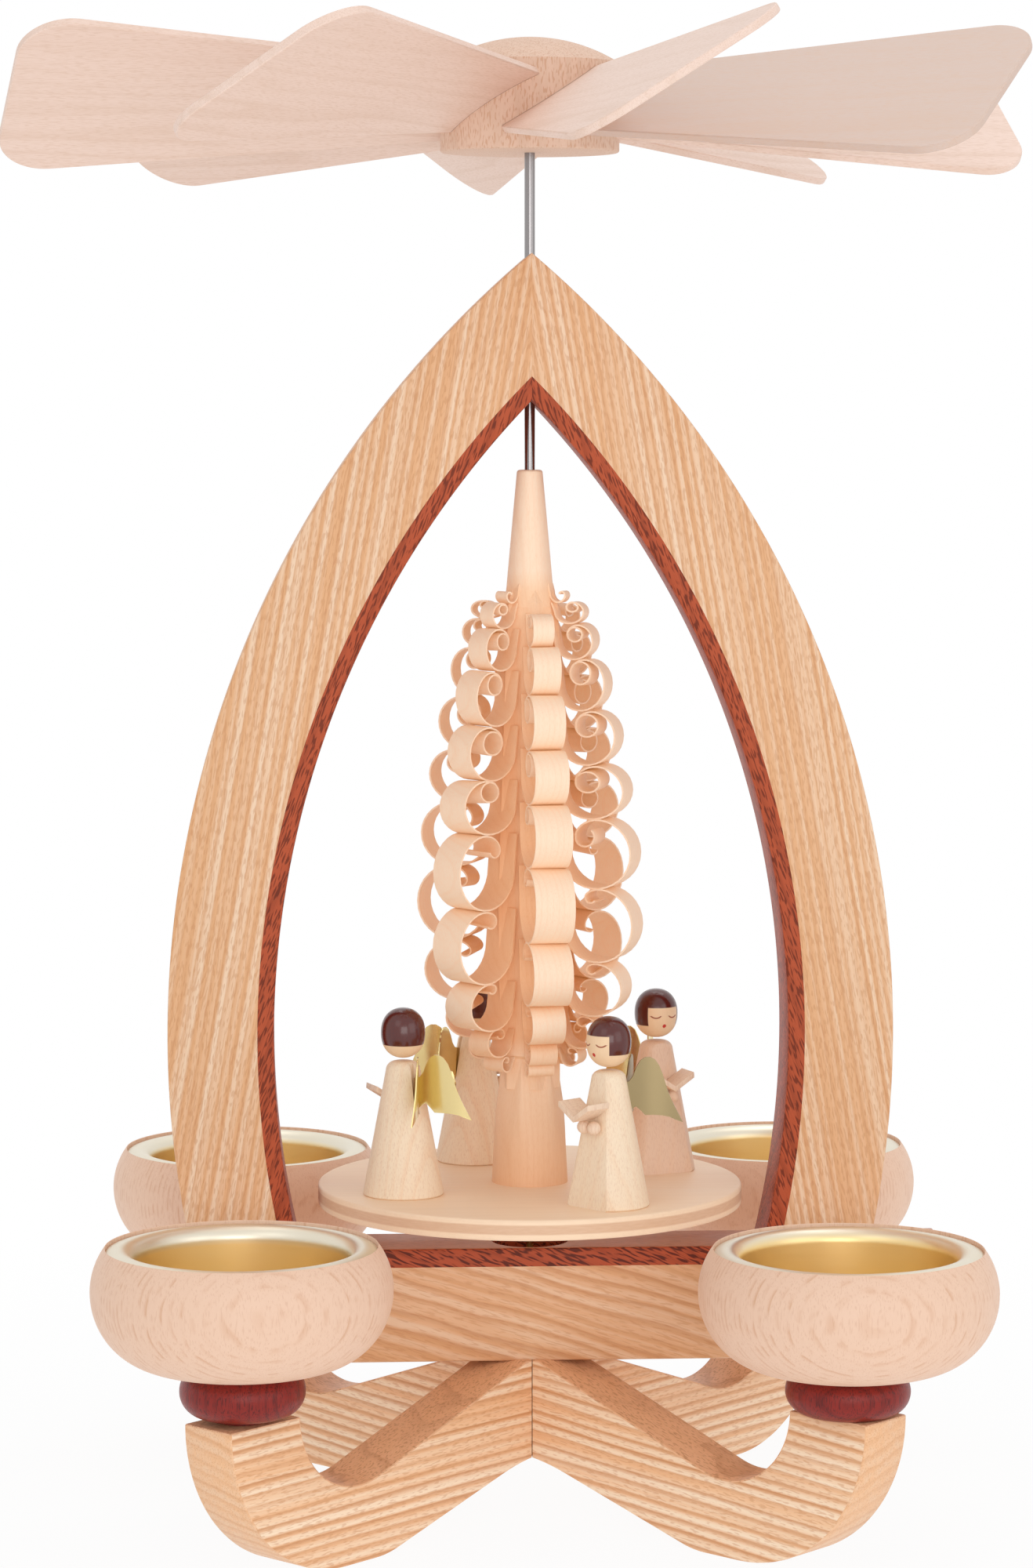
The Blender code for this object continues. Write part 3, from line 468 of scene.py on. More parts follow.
def dress(node, look):
    """Give a hidden CAD node its material."""
    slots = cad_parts[node].data.materials
    slots.clear()
    slots.append(look)


def only(kind, parts):
    """The vertices, edges or faces among some parts of a bmesh."""
    return [part for part in parts if isinstance(part, kind)]


def everything(shape):
    """All vertices, edges and faces of a bmesh."""
    return shape.verts[:] + shape.edges[:] + shape.faces[:]


def arc(centre, across, upright, start, end, steps):
    """Points of an ellipse's arc, the ends included."""
    return [(centre[0] + across * math.cos(start + (end - start) * i / steps),
             centre[1] + upright * math.sin(start + (end - start) * i / steps)) for i in range(steps + 1)]


def spun(outline, steps=96):
    """Turned shape from (radius, height) points with one full spin."""
    shape = bmesh.new()
    verts = [shape.verts.new((radius, 0, height)) for radius, height in outline]
    edges = [shape.edges.new(pair) for pair in zip(verts, verts[1:])]
    bmesh.ops.spin(shape, geom=verts + edges, axis=(0, 0, 1), cent=(0, 0, 0), dvec=(0, 0, 0),
                   angle=math.tau, steps=steps, use_merge=True)
    bmesh.ops.remove_doubles(shape, verts=shape.verts, dist=0.000002)
    bmesh.ops.recalc_face_normals(shape, faces=shape.faces)
    return shape


def board(outline, thickness, easing=0.0, eased=None, segments=2):
    """Sawn board from its outline in the XZ plane, with its sharp edges eased."""
    shape = bmesh.new()
    verts = [shape.verts.new((x, -thickness / 2, z)) for x, z in outline]
    face = shape.faces.new(verts)
    grown = bmesh.ops.extrude_face_region(shape, geom=[face])["geom"]
    bmesh.ops.translate(shape, vec=(0, thickness, 0), verts=only(bmesh.types.BMVert, grown))
    bmesh.ops.recalc_face_normals(shape, faces=shape.faces)
    if easing:
        edges = [edge for edge in shape.edges if edge.calc_face_angle(0) > math.radians(30)
                 and (eased is None or eased(edge))]
        bmesh.ops.bevel(shape, geom=edges, offset=easing, offset_type="OFFSET", segments=segments,
                        profile=0.5, affect="EDGES", clamp_overlap=True, material=-1)
    return shape


def moved(shape, matrix):
    """Shape after a move, in its mesh."""
    bmesh.ops.transform(shape, matrix=matrix, verts=shape.verts)
    return shape


def join_shapes(target, source):
    """Add a copy of one bmesh to another and free it."""
    mesh = mesh_of("part", source)
    target.from_mesh(mesh)
    bpy.data.meshes.remove(mesh)
    return target


def block(size, place):
    """Box of a size about a place."""
    shape = bmesh.new()
    bmesh.ops.create_cube(shape, size=1)
    bmesh.ops.scale(shape, vec=size, verts=shape.verts)
    bmesh.ops.translate(shape, vec=place, verts=shape.verts)
    return shape


def sliced(shape, place, normal, dist):
    """Cut a flat on a shape and close it."""
    cut = bmesh.ops.bisect_plane(shape, geom=everything(shape), dist=dist, plane_co=place, plane_no=normal,
                                 clear_outer=True)
    bmesh.ops.contextual_create(shape, geom=only(bmesh.types.BMEdge, cut["geom_cut"]))


def about_z(angle, place=(0, 0, 0)):
    """Move that turns about the upright and then shifts."""
    return Matrix.Translation(place) @ Matrix.Rotation(angle, 4, "Z")


def cut_away(made, shape):
    """Cut a shape out of a finished piece and bake the cut into its mesh."""
    cutter = placed("cutter", mesh_of("cutter", shape))
    change = made.modifiers.new("cut", "BOOLEAN")
    change.operation = "DIFFERENCE"
    change.solver = "EXACT"
    change.object = cutter
    bpy.context.view_layer.update()
    baked = bpy.data.meshes.new_from_object(made.evaluated_get(bpy.context.evaluated_depsgraph_get()))
    made.modifiers.remove(change)
    old, made.data = made.data, baked
    baked.name = made.name
    bpy.data.meshes.remove(old)
    blade = cutter.data
    bpy.data.objects.remove(cutter)
    bpy.data.meshes.remove(blade)
    baked.set_sharp_from_angle(angle=math.radians(40))


class CAROUSEL_OT_foot(bpy.types.Operator):
    """Build the two halved foot beams"""
    bl_idname = "carousel.foot"
    bl_label = "Foot"

    def execute(self, context):
        size, colours = settings("stand"), settings("finishes")
        seam_depth, seam_width = 0.0030, 0.00014
        end_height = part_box("foot_beam_lower")[1].z
        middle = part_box("cross_rail")[0].z
        under, top = math.atan(size.under_rise), math.atan(size.top_rise)
        end_centre = size.reach - size.end_round
        stand_centre = end_centre - size.stand_flat
        line = (size.stand_round * (1 - math.cos(under))
                + size.under_rise * (stand_centre - size.stand_round * math.sin(under)))
        bottom = line - size.middle_round * (1 / math.cos(under) - 1)
        valley = size.reach - size.end_flat - size.valley_round
        tangent = (valley - size.valley_round * math.sin(top), end_height - size.valley_round * math.cos(top))
        flat_end = tangent[0] - (middle - tangent[1]) / size.top_rise
        half = arc((0, bottom - size.middle_round), size.middle_round, size.middle_round, QUARTER,
                   QUARTER - under, 8)
        half += arc((stand_centre, size.stand_round), size.stand_round, size.stand_round,
                    -QUARTER - under, -QUARTER, 6)
        half += arc((end_centre, size.end_round), size.end_round, size.end_round, -QUARTER, 0, 40)
        half += [(size.reach, end_height), (size.reach - size.end_flat, end_height)]
        half += arc((valley, end_height), size.valley_round, size.valley_round, 0, -QUARTER - top, 36)[1:]
        half.append((flat_end, middle))
        outline = half + [(-x, z) for x, z in reversed(half[1:])]
        for name, turned, seed, fall in (("foot_beam_lower", math.pi / 4, 0.31, 0),
                                         ("foot_beam_upper", -math.pi / 4, 0.62, 0.07)):
            grain = wood(name + "_ash", colours.foot, colours.foot_line, ring=0.0021,
                         shift=(0, 0, seed), rotation=(0.22, fall, turned), wave=0.13, line_amount=0.85,
                         fleck_amount=0.4, fleck_size=(0.0016, 0.00026), pale=FOOT_PALE,
                         pale_amount=1.0, roughness=0.42, wander=(12, 60, 60))
            slope = wood(name + "_slope", colours.ash_slope, colours.ash_slope_line,
                         ring=0.0060, shift=(0, 0, seed), rotation=(0.22, 0.15, turned), wave=0.5,
                         line_amount=0.5, fleck_amount=0.5, fleck_size=(0.0012, 0.0004), pale=colours.ash,
                         pale_amount=0.5, roughness=0.42, wander=(60, 90, 90))
            end = wood(name + "_end", colours.foot, colours.foot_line, ring=0.0024,
                       shift=(0, 0, seed), rotation=(0.22, -0.25, turned), wave=0.2, line_amount=0.35,
                       fleck_amount=0.3, fleck_size=(0.0006, 0.0003), pale=colours.ash_pale, pale_amount=0.4,
                       roughness=0.42, wander=(40, 60, 60))
            shape = board(outline, size.board, size.easing)
            for face in shape.faces:
                if face.normal.z > 0.2:
                    face.material_index = 1
                elif abs(face.normal.x) > 0.3 and abs(face.calc_center_median().x) > stand_centre:
                    face.material_index = 2
            moved(shape, Matrix.Rotation(turned, 4, "Z"))
            beam = finish_piece(name + "_sawn", shape, (grain, slope, end), "stand", name, slot="ash")
            seams = bmesh.new()
            for quarter in range(4):
                seam = block((seam_depth, seam_width, 0.05), (size.board / 2 * math.sqrt(2), 0, 0.02))
                join_shapes(seams, moved(seam, Matrix.Rotation(quarter * QUARTER, 4, "Z")))
            cut_away(beam, seams)
        return {"FINISHED"}


class CAROUSEL_OT_rail(bpy.types.Operator):
    """Build the rail, its red strip and the bearing in its recess"""
    bl_idname = "carousel.rail"
    bl_label = "Rail"

    def execute(self, context):
        size, colours = settings("stand"), settings("finishes")
        low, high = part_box("cross_rail")
        strip_low, strip_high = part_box("rail_strip")
        seam = (high.z + strip_low.z) / 2
        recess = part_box("bearing_cup")[1].x + 0.0004
        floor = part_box("bearing_cup")[0].z
        ash = wood("rail_ash", colours.ash, colours.ash_line, ring=0.0030,
                   shift=(0.02, 0, -0.04), rotation=(0.3, 0.30, 0), pith=0.03, wave=0.55, line_amount=0.75,
                   fleck_amount=0.35, pale=colours.ash_pale, pale_amount=0.65, roughness=0.4, wander=(22, 40, 40))
        red = wood("rail_padauk", colours.padauk, colours.padauk_dark, ring=0.003,
                   shift=(0, 0, 0.02), rotation=(0.2, 0.42, 0), wave=0.6, line_amount=0.3, fleck_amount=0.9,
                   fleck_size=(0.0024, 0.00038), fleck_edge=0.55, roughness=0.45, gloss=0.2)
        shapes = []
        short_end, seat_gap = 0.0032, 0.0003
        over = strip_high.z + 0.005
        left = low.x + short_end
        for bottom, top in ((low.z - seat_gap, seam), (seam, strip_high.z)):
            shape = board([(left, bottom), (high.x, bottom), (high.x, top), (left, top)], high.y - low.y,
                          size.easing, lambda edge: min(abs(v.co.z - seam) for v in edge.verts) > 0.0001)
            shapes.append(shape)
        # The strip's upward faces take the paler top colour, a painted sheen.
        red_top = wood("rail_strip_top", colours.padauk_top, colours.padauk, colours.padauk_dark, ring=0.003,
                       rotation=(0.2, 0.1, 0), wave=0.6, line_amount=0.25, fleck_amount=0.25, roughness=0.4)
        for face in shapes[1].faces:
            face.material_index = 1 if face.normal.z > 0.7 else 0
        for name, shape, look in (("cross_rail", shapes[0], ash), ("rail_strip", shapes[1], (red, red_top))):
            made = finish_piece(name + "_sawn", shape, look, "stand", name,
                                slot="ash" if name == "cross_rail" else "padauk")
            cut_away(made, spun([(0, floor), (recess, floor), (recess, over), (0, over)], 64))
        glass = Shader("bearing_glass")
        spot = glass.place()
        tone = glass.mix(glass.noise(spot, (200, 200, 200)) * 0.2, (0.86, 0.93, 0.92), (0.95, 0.98, 0.98))
        glass.finish(tone, 0.06, Transmission_Weight=0.7, IOR=1.5)
        low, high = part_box("bearing_cup")
        dish, dish_depth, lip, bevel = 0.0034, 0.0026, 0.0002, 0.0003
        outline = [(0, low.z), (high.x, low.z), (high.x, high.z - bevel), (high.x - bevel, high.z),
                   (dish + lip, high.z)]
        outline += arc((0, high.z), dish, dish_depth, 0, -QUARTER, 14)
        finish_piece("bearing_cup_pressed", spun(outline, 64), glass.material, "stand", "bearing_cup",
                     slot="bearing_glass")
        dress("guide_bush", metal("brass_turned", colours.brass, 0.28))
        dress("rail_dowel", wood("dowel_beech", colours.beech, colours.beech_line, colours.beech_fleck,
                                 rotation=(0, 1.57, 0)))
        return {"FINISHED"}


class CAROUSEL_OT_arch(bpy.types.Operator):
    """Build the arch halves and their inner strips"""
    bl_idname = "carousel.arch"
    bl_label = "Arch"

    def execute(self, context):
        size, colours = settings("stand"), settings("finishes")
        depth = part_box("arch_half_left")[1].y * 2
        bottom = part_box("rail_strip")[1].z
        offset = size.arch_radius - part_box("arch_half_right")[1].x
        seam = size.arch_radius - size.arch_member
        inner = seam - size.arch_strip

        def curve(radius):
            """Arc of one edge from the rail to the mitre."""
            return arc((-offset, size.arch_wide), radius, radius,
                       math.asin((bottom - size.arch_wide) / radius), math.acos(offset / radius), 72)

        def rim(radius):
            """Test for an edge that lies on one curve and not on the mitre."""
            return lambda edge: all(abs(math.hypot(abs(v.co.x) + offset, v.co.z - size.arch_wide) - radius)
                                    < 0.00002 for v in edge.verts) and any(abs(v.co.x) > 0.0001
                                                                           for v in edge.verts)

        for side, sign in (("left", -1), ("right", 1)):
            for kind, outer, inside, eased in (("arch_half", size.arch_radius, seam, size.arch_radius),
                                               ("arch_strip", seam, inner, inner)):
                outline = [(sign * x, z) for x, z in curve(outer) + curve(inside)[::-1]]
                shape = board(outline, depth, size.easing, rim(eased))
                if kind == "arch_half":
                    look = wood(f"{kind}_{side}_ash", colours.ash, colours.ash_line, ring=0.0016,
                                shift=(0.1 * sign, 0, 0.5), rotation=(0.25, -QUARTER - sign * 0.17, 0), wave=0.12,
                                line_amount=0.45, fleck_amount=0.4, fleck_size=(0.0016, 0.00026),
                                fleck_edge=0.58, pale=colours.ash_pale, pale_amount=0.9, roughness=0.48,
                                wander=(6, 60, 60))
                else:
                    look = wood(f"{kind}_{side}_padauk", colours.padauk, colours.padauk_dark,
                                ring=0.003, shift=(0.05 * sign, 0, 0), rotation=(0.3, -QUARTER - sign * 0.35, 0),
                                wave=0.6, line_amount=0.35,
                                fleck_amount=0.7, fleck_size=(0.0020, 0.00030), fleck_edge=0.57,
                                roughness=0.45, gloss=0.15)
                finish_piece(f"{kind}_{side}_sawn", shape, look, "stand", f"{kind}_{side}",
                             slot="ash" if kind == "arch_half" else "padauk")
        return {"FINISHED"}


class CAROUSEL_OT_bowls(bpy.types.Operator):
    """Build the discs, bowls and metal cups on the four arms"""
    bl_idname = "carousel.bowls"
    bl_label = "Bowls"

    def execute(self, context):
        size, colours = settings("bowls"), settings("finishes")
        disc_pin, disc_height, belly_height = 0.0045, 0.0092, 0.014
        sheet, corner_round, shoulder, curl = size.sheet, 0.0022, 0.0026, 0.0003
        disc_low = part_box("foot_beam_lower")[1].z
        bowl_low = disc_low + disc_height
        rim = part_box("candle_bowl_front_left")[1].z
        cup_low, lip = [corner.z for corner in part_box("candle_cup_front_left")]
        # Above the rim the cup takes the paler flange colour, a painted reflection on the same metal sheet.
        gold = metal("cup_gold", colours.cup, 0.38, colours.flange, rim - 0.0012, grain=(60, 60, 2600))
        for number, (corner, lift, raised, facing) in enumerate(zip(CORNERS, DISC_LIFTS, BOWL_LIFTS, BOWL_TURNS)):
            low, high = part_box(f"candle_cup_{corner}")
            centre = Vector(((low.x + high.x) / 2, (low.y + high.y) / 2, 0))
            seat = Matrix.Translation(centre + Vector((0, 0, raised)))
            bottom, top = disc_low + lift, bowl_low + raised
            half = (top - bottom) / 2
            outline = [(0, disc_low), (disc_pin, disc_low), (disc_pin, bottom)]
            outline += arc((size.disc_face, bottom + half), size.disc - size.disc_face, half,
                           -QUARTER, QUARTER, 24) + [(0, top)]
            red = wood(f"disc_{corner}_red", colours.disc, colours.disc_dark, ring=0.0016,
                       shift=centre, rotation=(0, QUARTER, number * 1.3), wave=0.7, line_amount=0.5,
                       fleck_amount=0.6, fleck_size=(0.0022, 0.0002), roughness=0.36, relief=0.3, gloss=0.3)
            shape = moved(spun(outline), Matrix.Translation(centre))
            finish_piece(f"disc_{corner}_turned", shape, red, "stand", f"spacer_disc_{corner}", slot="red_wood")

            belly = (size.foot, bowl_low + belly_height)
            up = math.acos((size.flange + 0.00015 - size.foot) / size.belly)
            outline = [(0, bowl_low)] + arc(belly, size.belly, belly_height, -QUARTER, 0, 28)
            outline += arc(belly, size.belly, size.belly, 0, up, 20)[1:]
            outline += [(outline[-1][0] - 0.0001, outline[-1][1] - 0.0001), (size.flange + 0.00005, rim)]
            outline += [(size.cup + 0.0005, rim), (size.cup + 0.0005, cup_low - 0.0003), (0, cup_low - 0.0003)]
            beech = wood(f"bowl_{corner}_beech", colours.beech, colours.beech_line, colours.beech_fleck,
                         ring=0.00115, shift=centre + Vector((0, 0, 0.0535)),
                         rotation=(0, -QUARTER, math.radians(facing + 180)), wave=0.3, line_amount=0.62,
                         fleck_amount=0.25, fleck_size=(0.0015, 0.00022), fleck_edge=0.66, streak=0.12,
                         roughness=0.5, relief=0.08, wander=(45, 45, 45), broken=0.88)
            shape = moved(spun(outline, 128), seat)
            finish_piece(f"bowl_{corner}_turned", shape, beech, "stand", f"candle_bowl_{corner}", slot="beech")

            outline = [(0, cup_low + sheet), (size.cup - sheet - corner_round, cup_low + sheet)]
            outline += arc((size.cup - sheet - corner_round, cup_low + sheet + corner_round), corner_round,
                           corner_round, -QUARTER, 0, 8)[1:]
            outline += arc((size.cup - sheet + shoulder, lip - 0.0004 - shoulder), shoulder, shoulder,
                           math.pi, QUARTER, 12)
            outline += [(size.flange - 4 * curl, lip - 2 * curl), (size.flange - curl, lip - 3 * curl)]
            outline += arc((size.flange - curl, lip - 4 * curl), curl, curl, QUARTER, -QUARTER, 6)[1:]
            outline += [(size.cup + shoulder, rim + 0.0001)]
            outline += arc((size.cup + shoulder, rim + 0.0001 - shoulder), shoulder, shoulder, QUARTER,
                           math.pi, 10)[1:]
            outline += [(size.cup, cup_low + corner_round), (size.cup - corner_round, cup_low), (0, cup_low)]
            shape = moved(spun(outline, 128), seat)
            finish_piece(f"cup_{corner}_drawn", shape, gold, f"cup_{corner}", f"candle_cup_{corner}",
                         slot="gold_metal")
        return {"FINISHED"}


class CAROUSEL_OT_turntable(bpy.types.Operator):
    """Build the plywood turntable, the pivot pin and the rotor shaft"""
    bl_idname = "carousel.turntable"
    bl_label = "Turntable"

    def execute(self, context):
        colours = settings("finishes")
        low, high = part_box("turntable")
        shader = Shader("turntable_ply")
        spot = shader.place()
        z = shader.split(spot)[2]
        fibre = shader.noise(spot, (60, 2600, 2600), 3.0, 0.6)
        broad = shader.noise(spot, (20, 120, 120), 2.0)
        ring = shader.noise(spot, (14, 300, 60), 2.0)
        face = shader.mix((fibre - 0.45).either(0) * 0.5, colours.birch, colours.birch_core)
        face = shader.mix((ring - 0.5).either(0) * 0.5, face, tuple(c * 0.86 for c in colours.birch))
        face = shader.mix((broad - 0.5).either(0) * 0.5, face, (0.95, 0.83, 0.70))
        edge = shader.noise(spot, (500, 500, 4000), 2.0)
        core = z.above(low.z + 0.0012, 0.00015).both(z.below(high.z - 0.0010, 0.00015))
        core = core * (edge * 0.5 + 0.65)
        colour = shader.mix(core.both(1), face, colours.birch_core)
        ply = shader.finish(colour, fibre * 0.15 + 0.42, bump=fibre, strength=0.12)
        easing = 0.0005
        outline = [(0, low.z)] + arc((high.x - easing, low.z + easing), easing, easing, -QUARTER, 0, 4)
        outline += arc((high.x - easing, high.z - easing), easing, easing, 0, QUARTER, 4) + [(0, high.z)]
        finish_piece("turntable_sanded", spun(outline, 192), ply, "carousel", "turntable", slot="birch")

        low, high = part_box("pivot_pin")
        outline = [(0, low.z), (high.x * 0.4, low.z + 0.0006), (high.x, low.z + 0.002), (high.x, high.z), (0, high.z)]
        finish_piece("pivot_pin_pointed", spun(outline, 32), metal("pin_brass", colours.brass, 0.25), "carousel",
                     "pivot_pin", slot="brass")
        low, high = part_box("rotor_shaft")
        steel = metal("shaft_steel", colours.steel, 0.2, grain=(3000, 3000, 60))
        outline = [(0, low.z), (high.x, low.z), (high.x, high.z - 0.0004), (high.x - 0.0004, high.z), (0, high.z)]
        finish_piece("rotor_shaft_polished", spun(outline, 48), steel, "carousel", "rotor_shaft", slot="steel")
        return {"FINISHED"}


# The tier tables give one value for each tier of the shaving tree, from the top one down.
HEIGHT_SHARES = (1, 0.948, 0.897, 0.814, 0.706, 0.599, 0.493, 0.344, 0.198, 0.103, 0.046, 0.015, 0)
REACH_SHARES = (0.46, 0.52, 0.63, 0.76, 0.85, 0.93, 1, 1, 0.865, 0.62, 0.45, 0.41, 0.41)
WIDTH_SHARES = (0.36, 0.40, 0.57, 0.67, 0.72, 0.79, 0.86, 0.88, 0.82, 0.62, 0.58, 0.56, 0.56)
CORE_SHARES = (0.65, 0.69, 0.73, 0.79, 0.84, 0.89, 0.95, 1, 0.99, 0.93, 0.89, 0.85, 0.83)
PHASES = (0.42, -0.25, 0.15, -0.40, -0.50, 0.0)
# Six columns of curls stand about the trunk, and only three of them end in a small hook at the top.
COLUMN_TURNS = tuple(math.radians(-80 + 60 * k) for k in range(6))
HOOK_COLUMNS, HOOK_RISE, HOOK_DROP, HOOK_CORE = (1, 3, 5), 0.0036, 0.0015, 0.0044
HOOK_ACROSS, HOOK_UPRIGHT, HOOK_ROLL = 0.0015, 0.0019, (0.84, 0.12, 0.30, 1.42)
TURNING_SHARES = (1.05, 1.02, 1.0, 1.0, 1.0, 1.03, 1.15, 1.17, 1.17, 1.1, 1.05, 1.05, 1.05)
FALL_SHARES = (0.3, 0.4, 0.5, 0.5, 0.5, 0.45, 0.3, 0.25, 0.25, 0.3, 0.3, 0.3, 0.3)
ROLL_SHARES = (0.34, 0.34, 0.36, 0.36, 0.36, 0.33, 0.18, 0.16, 0.17, 0.25, 0.3, 0.3, 0.3)
END_SHARES = (1.8, 2.35, 2.5, 2.5, 2.5, 2.4, 2.0, 1.93, 1.95, 1.95, 1.8, 1.7, 1.7)


def tier_place(column, tier):
    """Place of a curl in the tier tables; the columns that start high draw level at the top."""
    phase = PHASES[column]
    if phase < 0:
        phase *= min(1, max(tier - 1, 0) / 1.6)
    return max(tier, 1) + phase


def at_phase(table, place):
    """Value between two entries of a tier table."""
    place = min(max(place, 0), len(table) - 1)
    low = min(int(place), len(table) - 2)
    return table[low] + (place - low) * (table[low + 1] - table[low])


class CAROUSEL_OT_tree(bpy.types.Operator):
    """Shave the tree: a turned trunk with six columns of curls"""
    bl_idname = "carousel.tree"
    bl_label = "Shaving tree"

    def curl(self, shape, path, width, twist, column, slant):
        """One shaving: an edge drawn along its path, then given its thickness."""
        size = settings("tree")
        limit = math.tan(math.pi / 6)
        half = min(width / 2, path[0][0] * limit - 0.0003)
        first = [shape.verts.new(column @ Vector((path[0][0], side * half, path[0][1]))) for side in (-1, 1)]
        edge = shape.edges.new(first)
        faces = []
        back = column.inverted()
        for i, (radius, height) in enumerate(path[1:], 1):
            share = i / (len(path) - 1)
            grown = bmesh.ops.extrude_edge_only(shape, edges=[edge])["geom"]
            faces += only(bmesh.types.BMFace, grown)
            edge = [part for part in only(bmesh.types.BMEdge, grown) if all(v not in first for v in part.verts)][0]
            corners = only(bmesh.types.BMVert, grown)
            half = min(width / 2, radius * limit - 0.0003)
            middle = sum((back @ v.co).y for v in first) / len(first)
            for corner in corners:
                side = 1 if (back @ corner.co).y > middle else -1
                corner.co = column @ Vector((radius, side * half + slant * share, height + side * twist * share))
            first = corners
        return faces

    def execute(self, context):
        size, colours = settings("tree"), settings("finishes")
        low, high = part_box("shaving_tree")
        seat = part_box("turntable")[1].z
        chance = random.Random(7)
        shape = bmesh.new()
        faces = []
        for k, around in enumerate(COLUMN_TURNS):
            column = Matrix.Rotation(around, 3, "Z")
            for tier in range(11):
                place = tier_place(k, tier)
                height = tier_height(size, place) + (0 if tier else HOOK_RISE)
                core = size.core * at_phase(CORE_SHARES, place) if tier else HOOK_CORE
                width = size.width * at_phase(WIDTH_SHARES, place if tier else 0)
                rolled = self.roll(at_phase(TURNING_SHARES, place) + chance.uniform(-0.02, 0.04),
                                   at_phase(FALL_SHARES, place) + chance.uniform(-0.06, 0.06),
                                   at_phase(ROLL_SHARES, place) + chance.uniform(-0.04, 0.05),
                                   at_phase(END_SHARES, place) + chance.uniform(-0.08, 0.05))
                if tier == 0:
                    if k not in HOOK_COLUMNS:
                        continue
                    across, upright = HOOK_ACROSS, HOOK_UPRIGHT
                    rolled = self.roll(*HOOK_ROLL)
                    middle = (core + 0.0002 + across, height - HOOK_DROP)
                else:
                    rise = max(z for x, z in rolled)
                    bottom = tier_height(size, tier_place(k, tier + 1)) + 0.0002
                    upright = (height - bottom - size.shaving) / (1 + rise)
                    inside = core + 0.0005
                    across = (size.reach * at_phase(REACH_SHARES, place) - size.shaving / 2 - inside) / 2
                    middle = (inside + across, bottom + size.shaving / 2 + upright)
                path = [(core - size.shaving / 2, height)]
                path += [(middle[0] + across * x, middle[1] + upright * z) for x, z in rolled]
                faces += self.curl(shape, path, width * chance.uniform(0.96, 1.0), chance.uniform(-1, 1) * 0.0004,
                                   column, chance.uniform(-1, 1) * 0.0003)
        bmesh.ops.solidify(shape, geom=faces, thickness=size.shaving)
        bmesh.ops.recalc_face_normals(shape, faces=shape.faces)
        join_shapes(shape, self.trunk(seat, high.z))
        # The shavings carry painted shade, darker low on the trunk and darker and warmer near the core, and a weak
        # emission as a painted glow.
        shaved = wood("tree_shavings", colours.shaving, colours.shaving_line, ring=0.0011,
                      rotation=(0, -QUARTER, 0.4), wave=0.5, line_amount=0.2, fleck_amount=0.2,
                      fleck_size=(0.0014, 0.00016), streak=0.25, roughness=0.55, relief=0.08,
                      shade=(seat, 0.093, TREE_PAINTED_SHADE), core=(0.091, 0.180, 0.13, 0.005, 0.0125, CORE_PAINTED_SHADE))
        painted_glow(shaved, colours.glow, 0.05)
        finish_piece("shaving_tree_curled", shape, shaved, "carousel", "shaving_tree", slot="lime_wood",
                     smooth=32)
        return {"FINISHED"}

    def roll(self, turning, fall, small, end):
        """Points of a curl on a unit loop, which tightens from its turning place into a small roll."""
        steps = settings("tree").steps
        step = math.tau / steps
        x, z, angle = -1.0, 0.0, math.pi + step / 2
        points = [(x, z)]
        while angle < end * math.tau:
            tight = min(max((angle - turning * math.tau) / (fall * math.tau), 0), 1)
            radius = 1 + (small - 1) * tight
            x, z = x - radius * math.sin(angle) * step, z + radius * math.cos(angle) * step
            points.append((x, z))
            angle += step
        return points

    def trunk(self, seat, top):
        """Turned trunk and cone with six shaved flats."""
        size = settings("tree")
        trunk_top, cone_low, cone_high, tip_round, sunk = 0.0885, 0.176, 0.1795, 0.0006, 0.0004
        shape = spun([(0, seat), (0.0074, seat), (0.00695, 0.0725), (0.0067, 0.080), (0.0064, 0.0862),
                      (0.0060, trunk_top), (0, trunk_top)])
        for around in COLUMN_TURNS:
            flat = Vector((math.cos(around), math.sin(around), 0.134))
            sliced(shape, (0.00725 * flat.x, 0.00725 * flat.y, 0.0685), flat, 0.000001)
        bmesh.ops.recalc_face_normals(shape, faces=shape.faces)
        cone = spun([(0, cone_low), (0.0050, cone_low), (0.0045, cone_high), (0.0042, 0.183),
                     (0.0025, top - tip_round)]
                    + arc((0.0019, top - tip_round), tip_round, tip_round, 0, QUARTER, 5) + [(0, top)], 72)
        flats = [(0.0887, 0.0053)] + [(tier_height(size, i), size.core * CORE_SHARES[i] - sunk)
                                      for i in range(10, 0, -1)] + [(cone_high, 0.0039)]
        core = bmesh.new()
        ring = bmesh.ops.create_circle(core, cap_ends=True, radius=1, segments=6)["verts"]
        bmesh.ops.rotate(core, verts=core.verts, matrix=Matrix.Rotation(COLUMN_TURNS[0] + math.pi / 6, 3, "Z"))
        corner = 1 / math.cos(math.pi / 6)
        height, radius = flats[0]
        bmesh.ops.scale(core, vec=(radius * corner, radius * corner, 1), verts=core.verts)
        bmesh.ops.translate(core, vec=(0, 0, height - 0.006), verts=core.verts)
        face = core.faces[:][0]
        for next_height, next_radius in flats:
            grown = bmesh.ops.extrude_face_region(core, geom=[face])["geom"]
            verts = only(bmesh.types.BMVert, grown)
            face = only(bmesh.types.BMFace, grown)[0]
            factor = next_radius / radius
            bmesh.ops.scale(core, vec=(factor, factor, 1), verts=verts)
            bmesh.ops.translate(core, vec=(0, 0, next_height - verts[0].co.z), verts=verts)
            radius = next_radius
        bmesh.ops.recalc_face_normals(core, faces=core.faces)
        join_shapes(shape, cone)
        return join_shapes(shape, core)


def tier_height(size, place):
    """Height of a place in the tier tables."""
    return size.bottom + (size.top - size.bottom) * at_phase(HEIGHT_SHARES, place)


HEADINGS = (-140, -70, 28, 110)
BOOK_HEIGHT = 0.0168
WING_PLACE = (-0.0041, 0, 0.0210)
WING_TURNS = (0, 0, 0, 13)
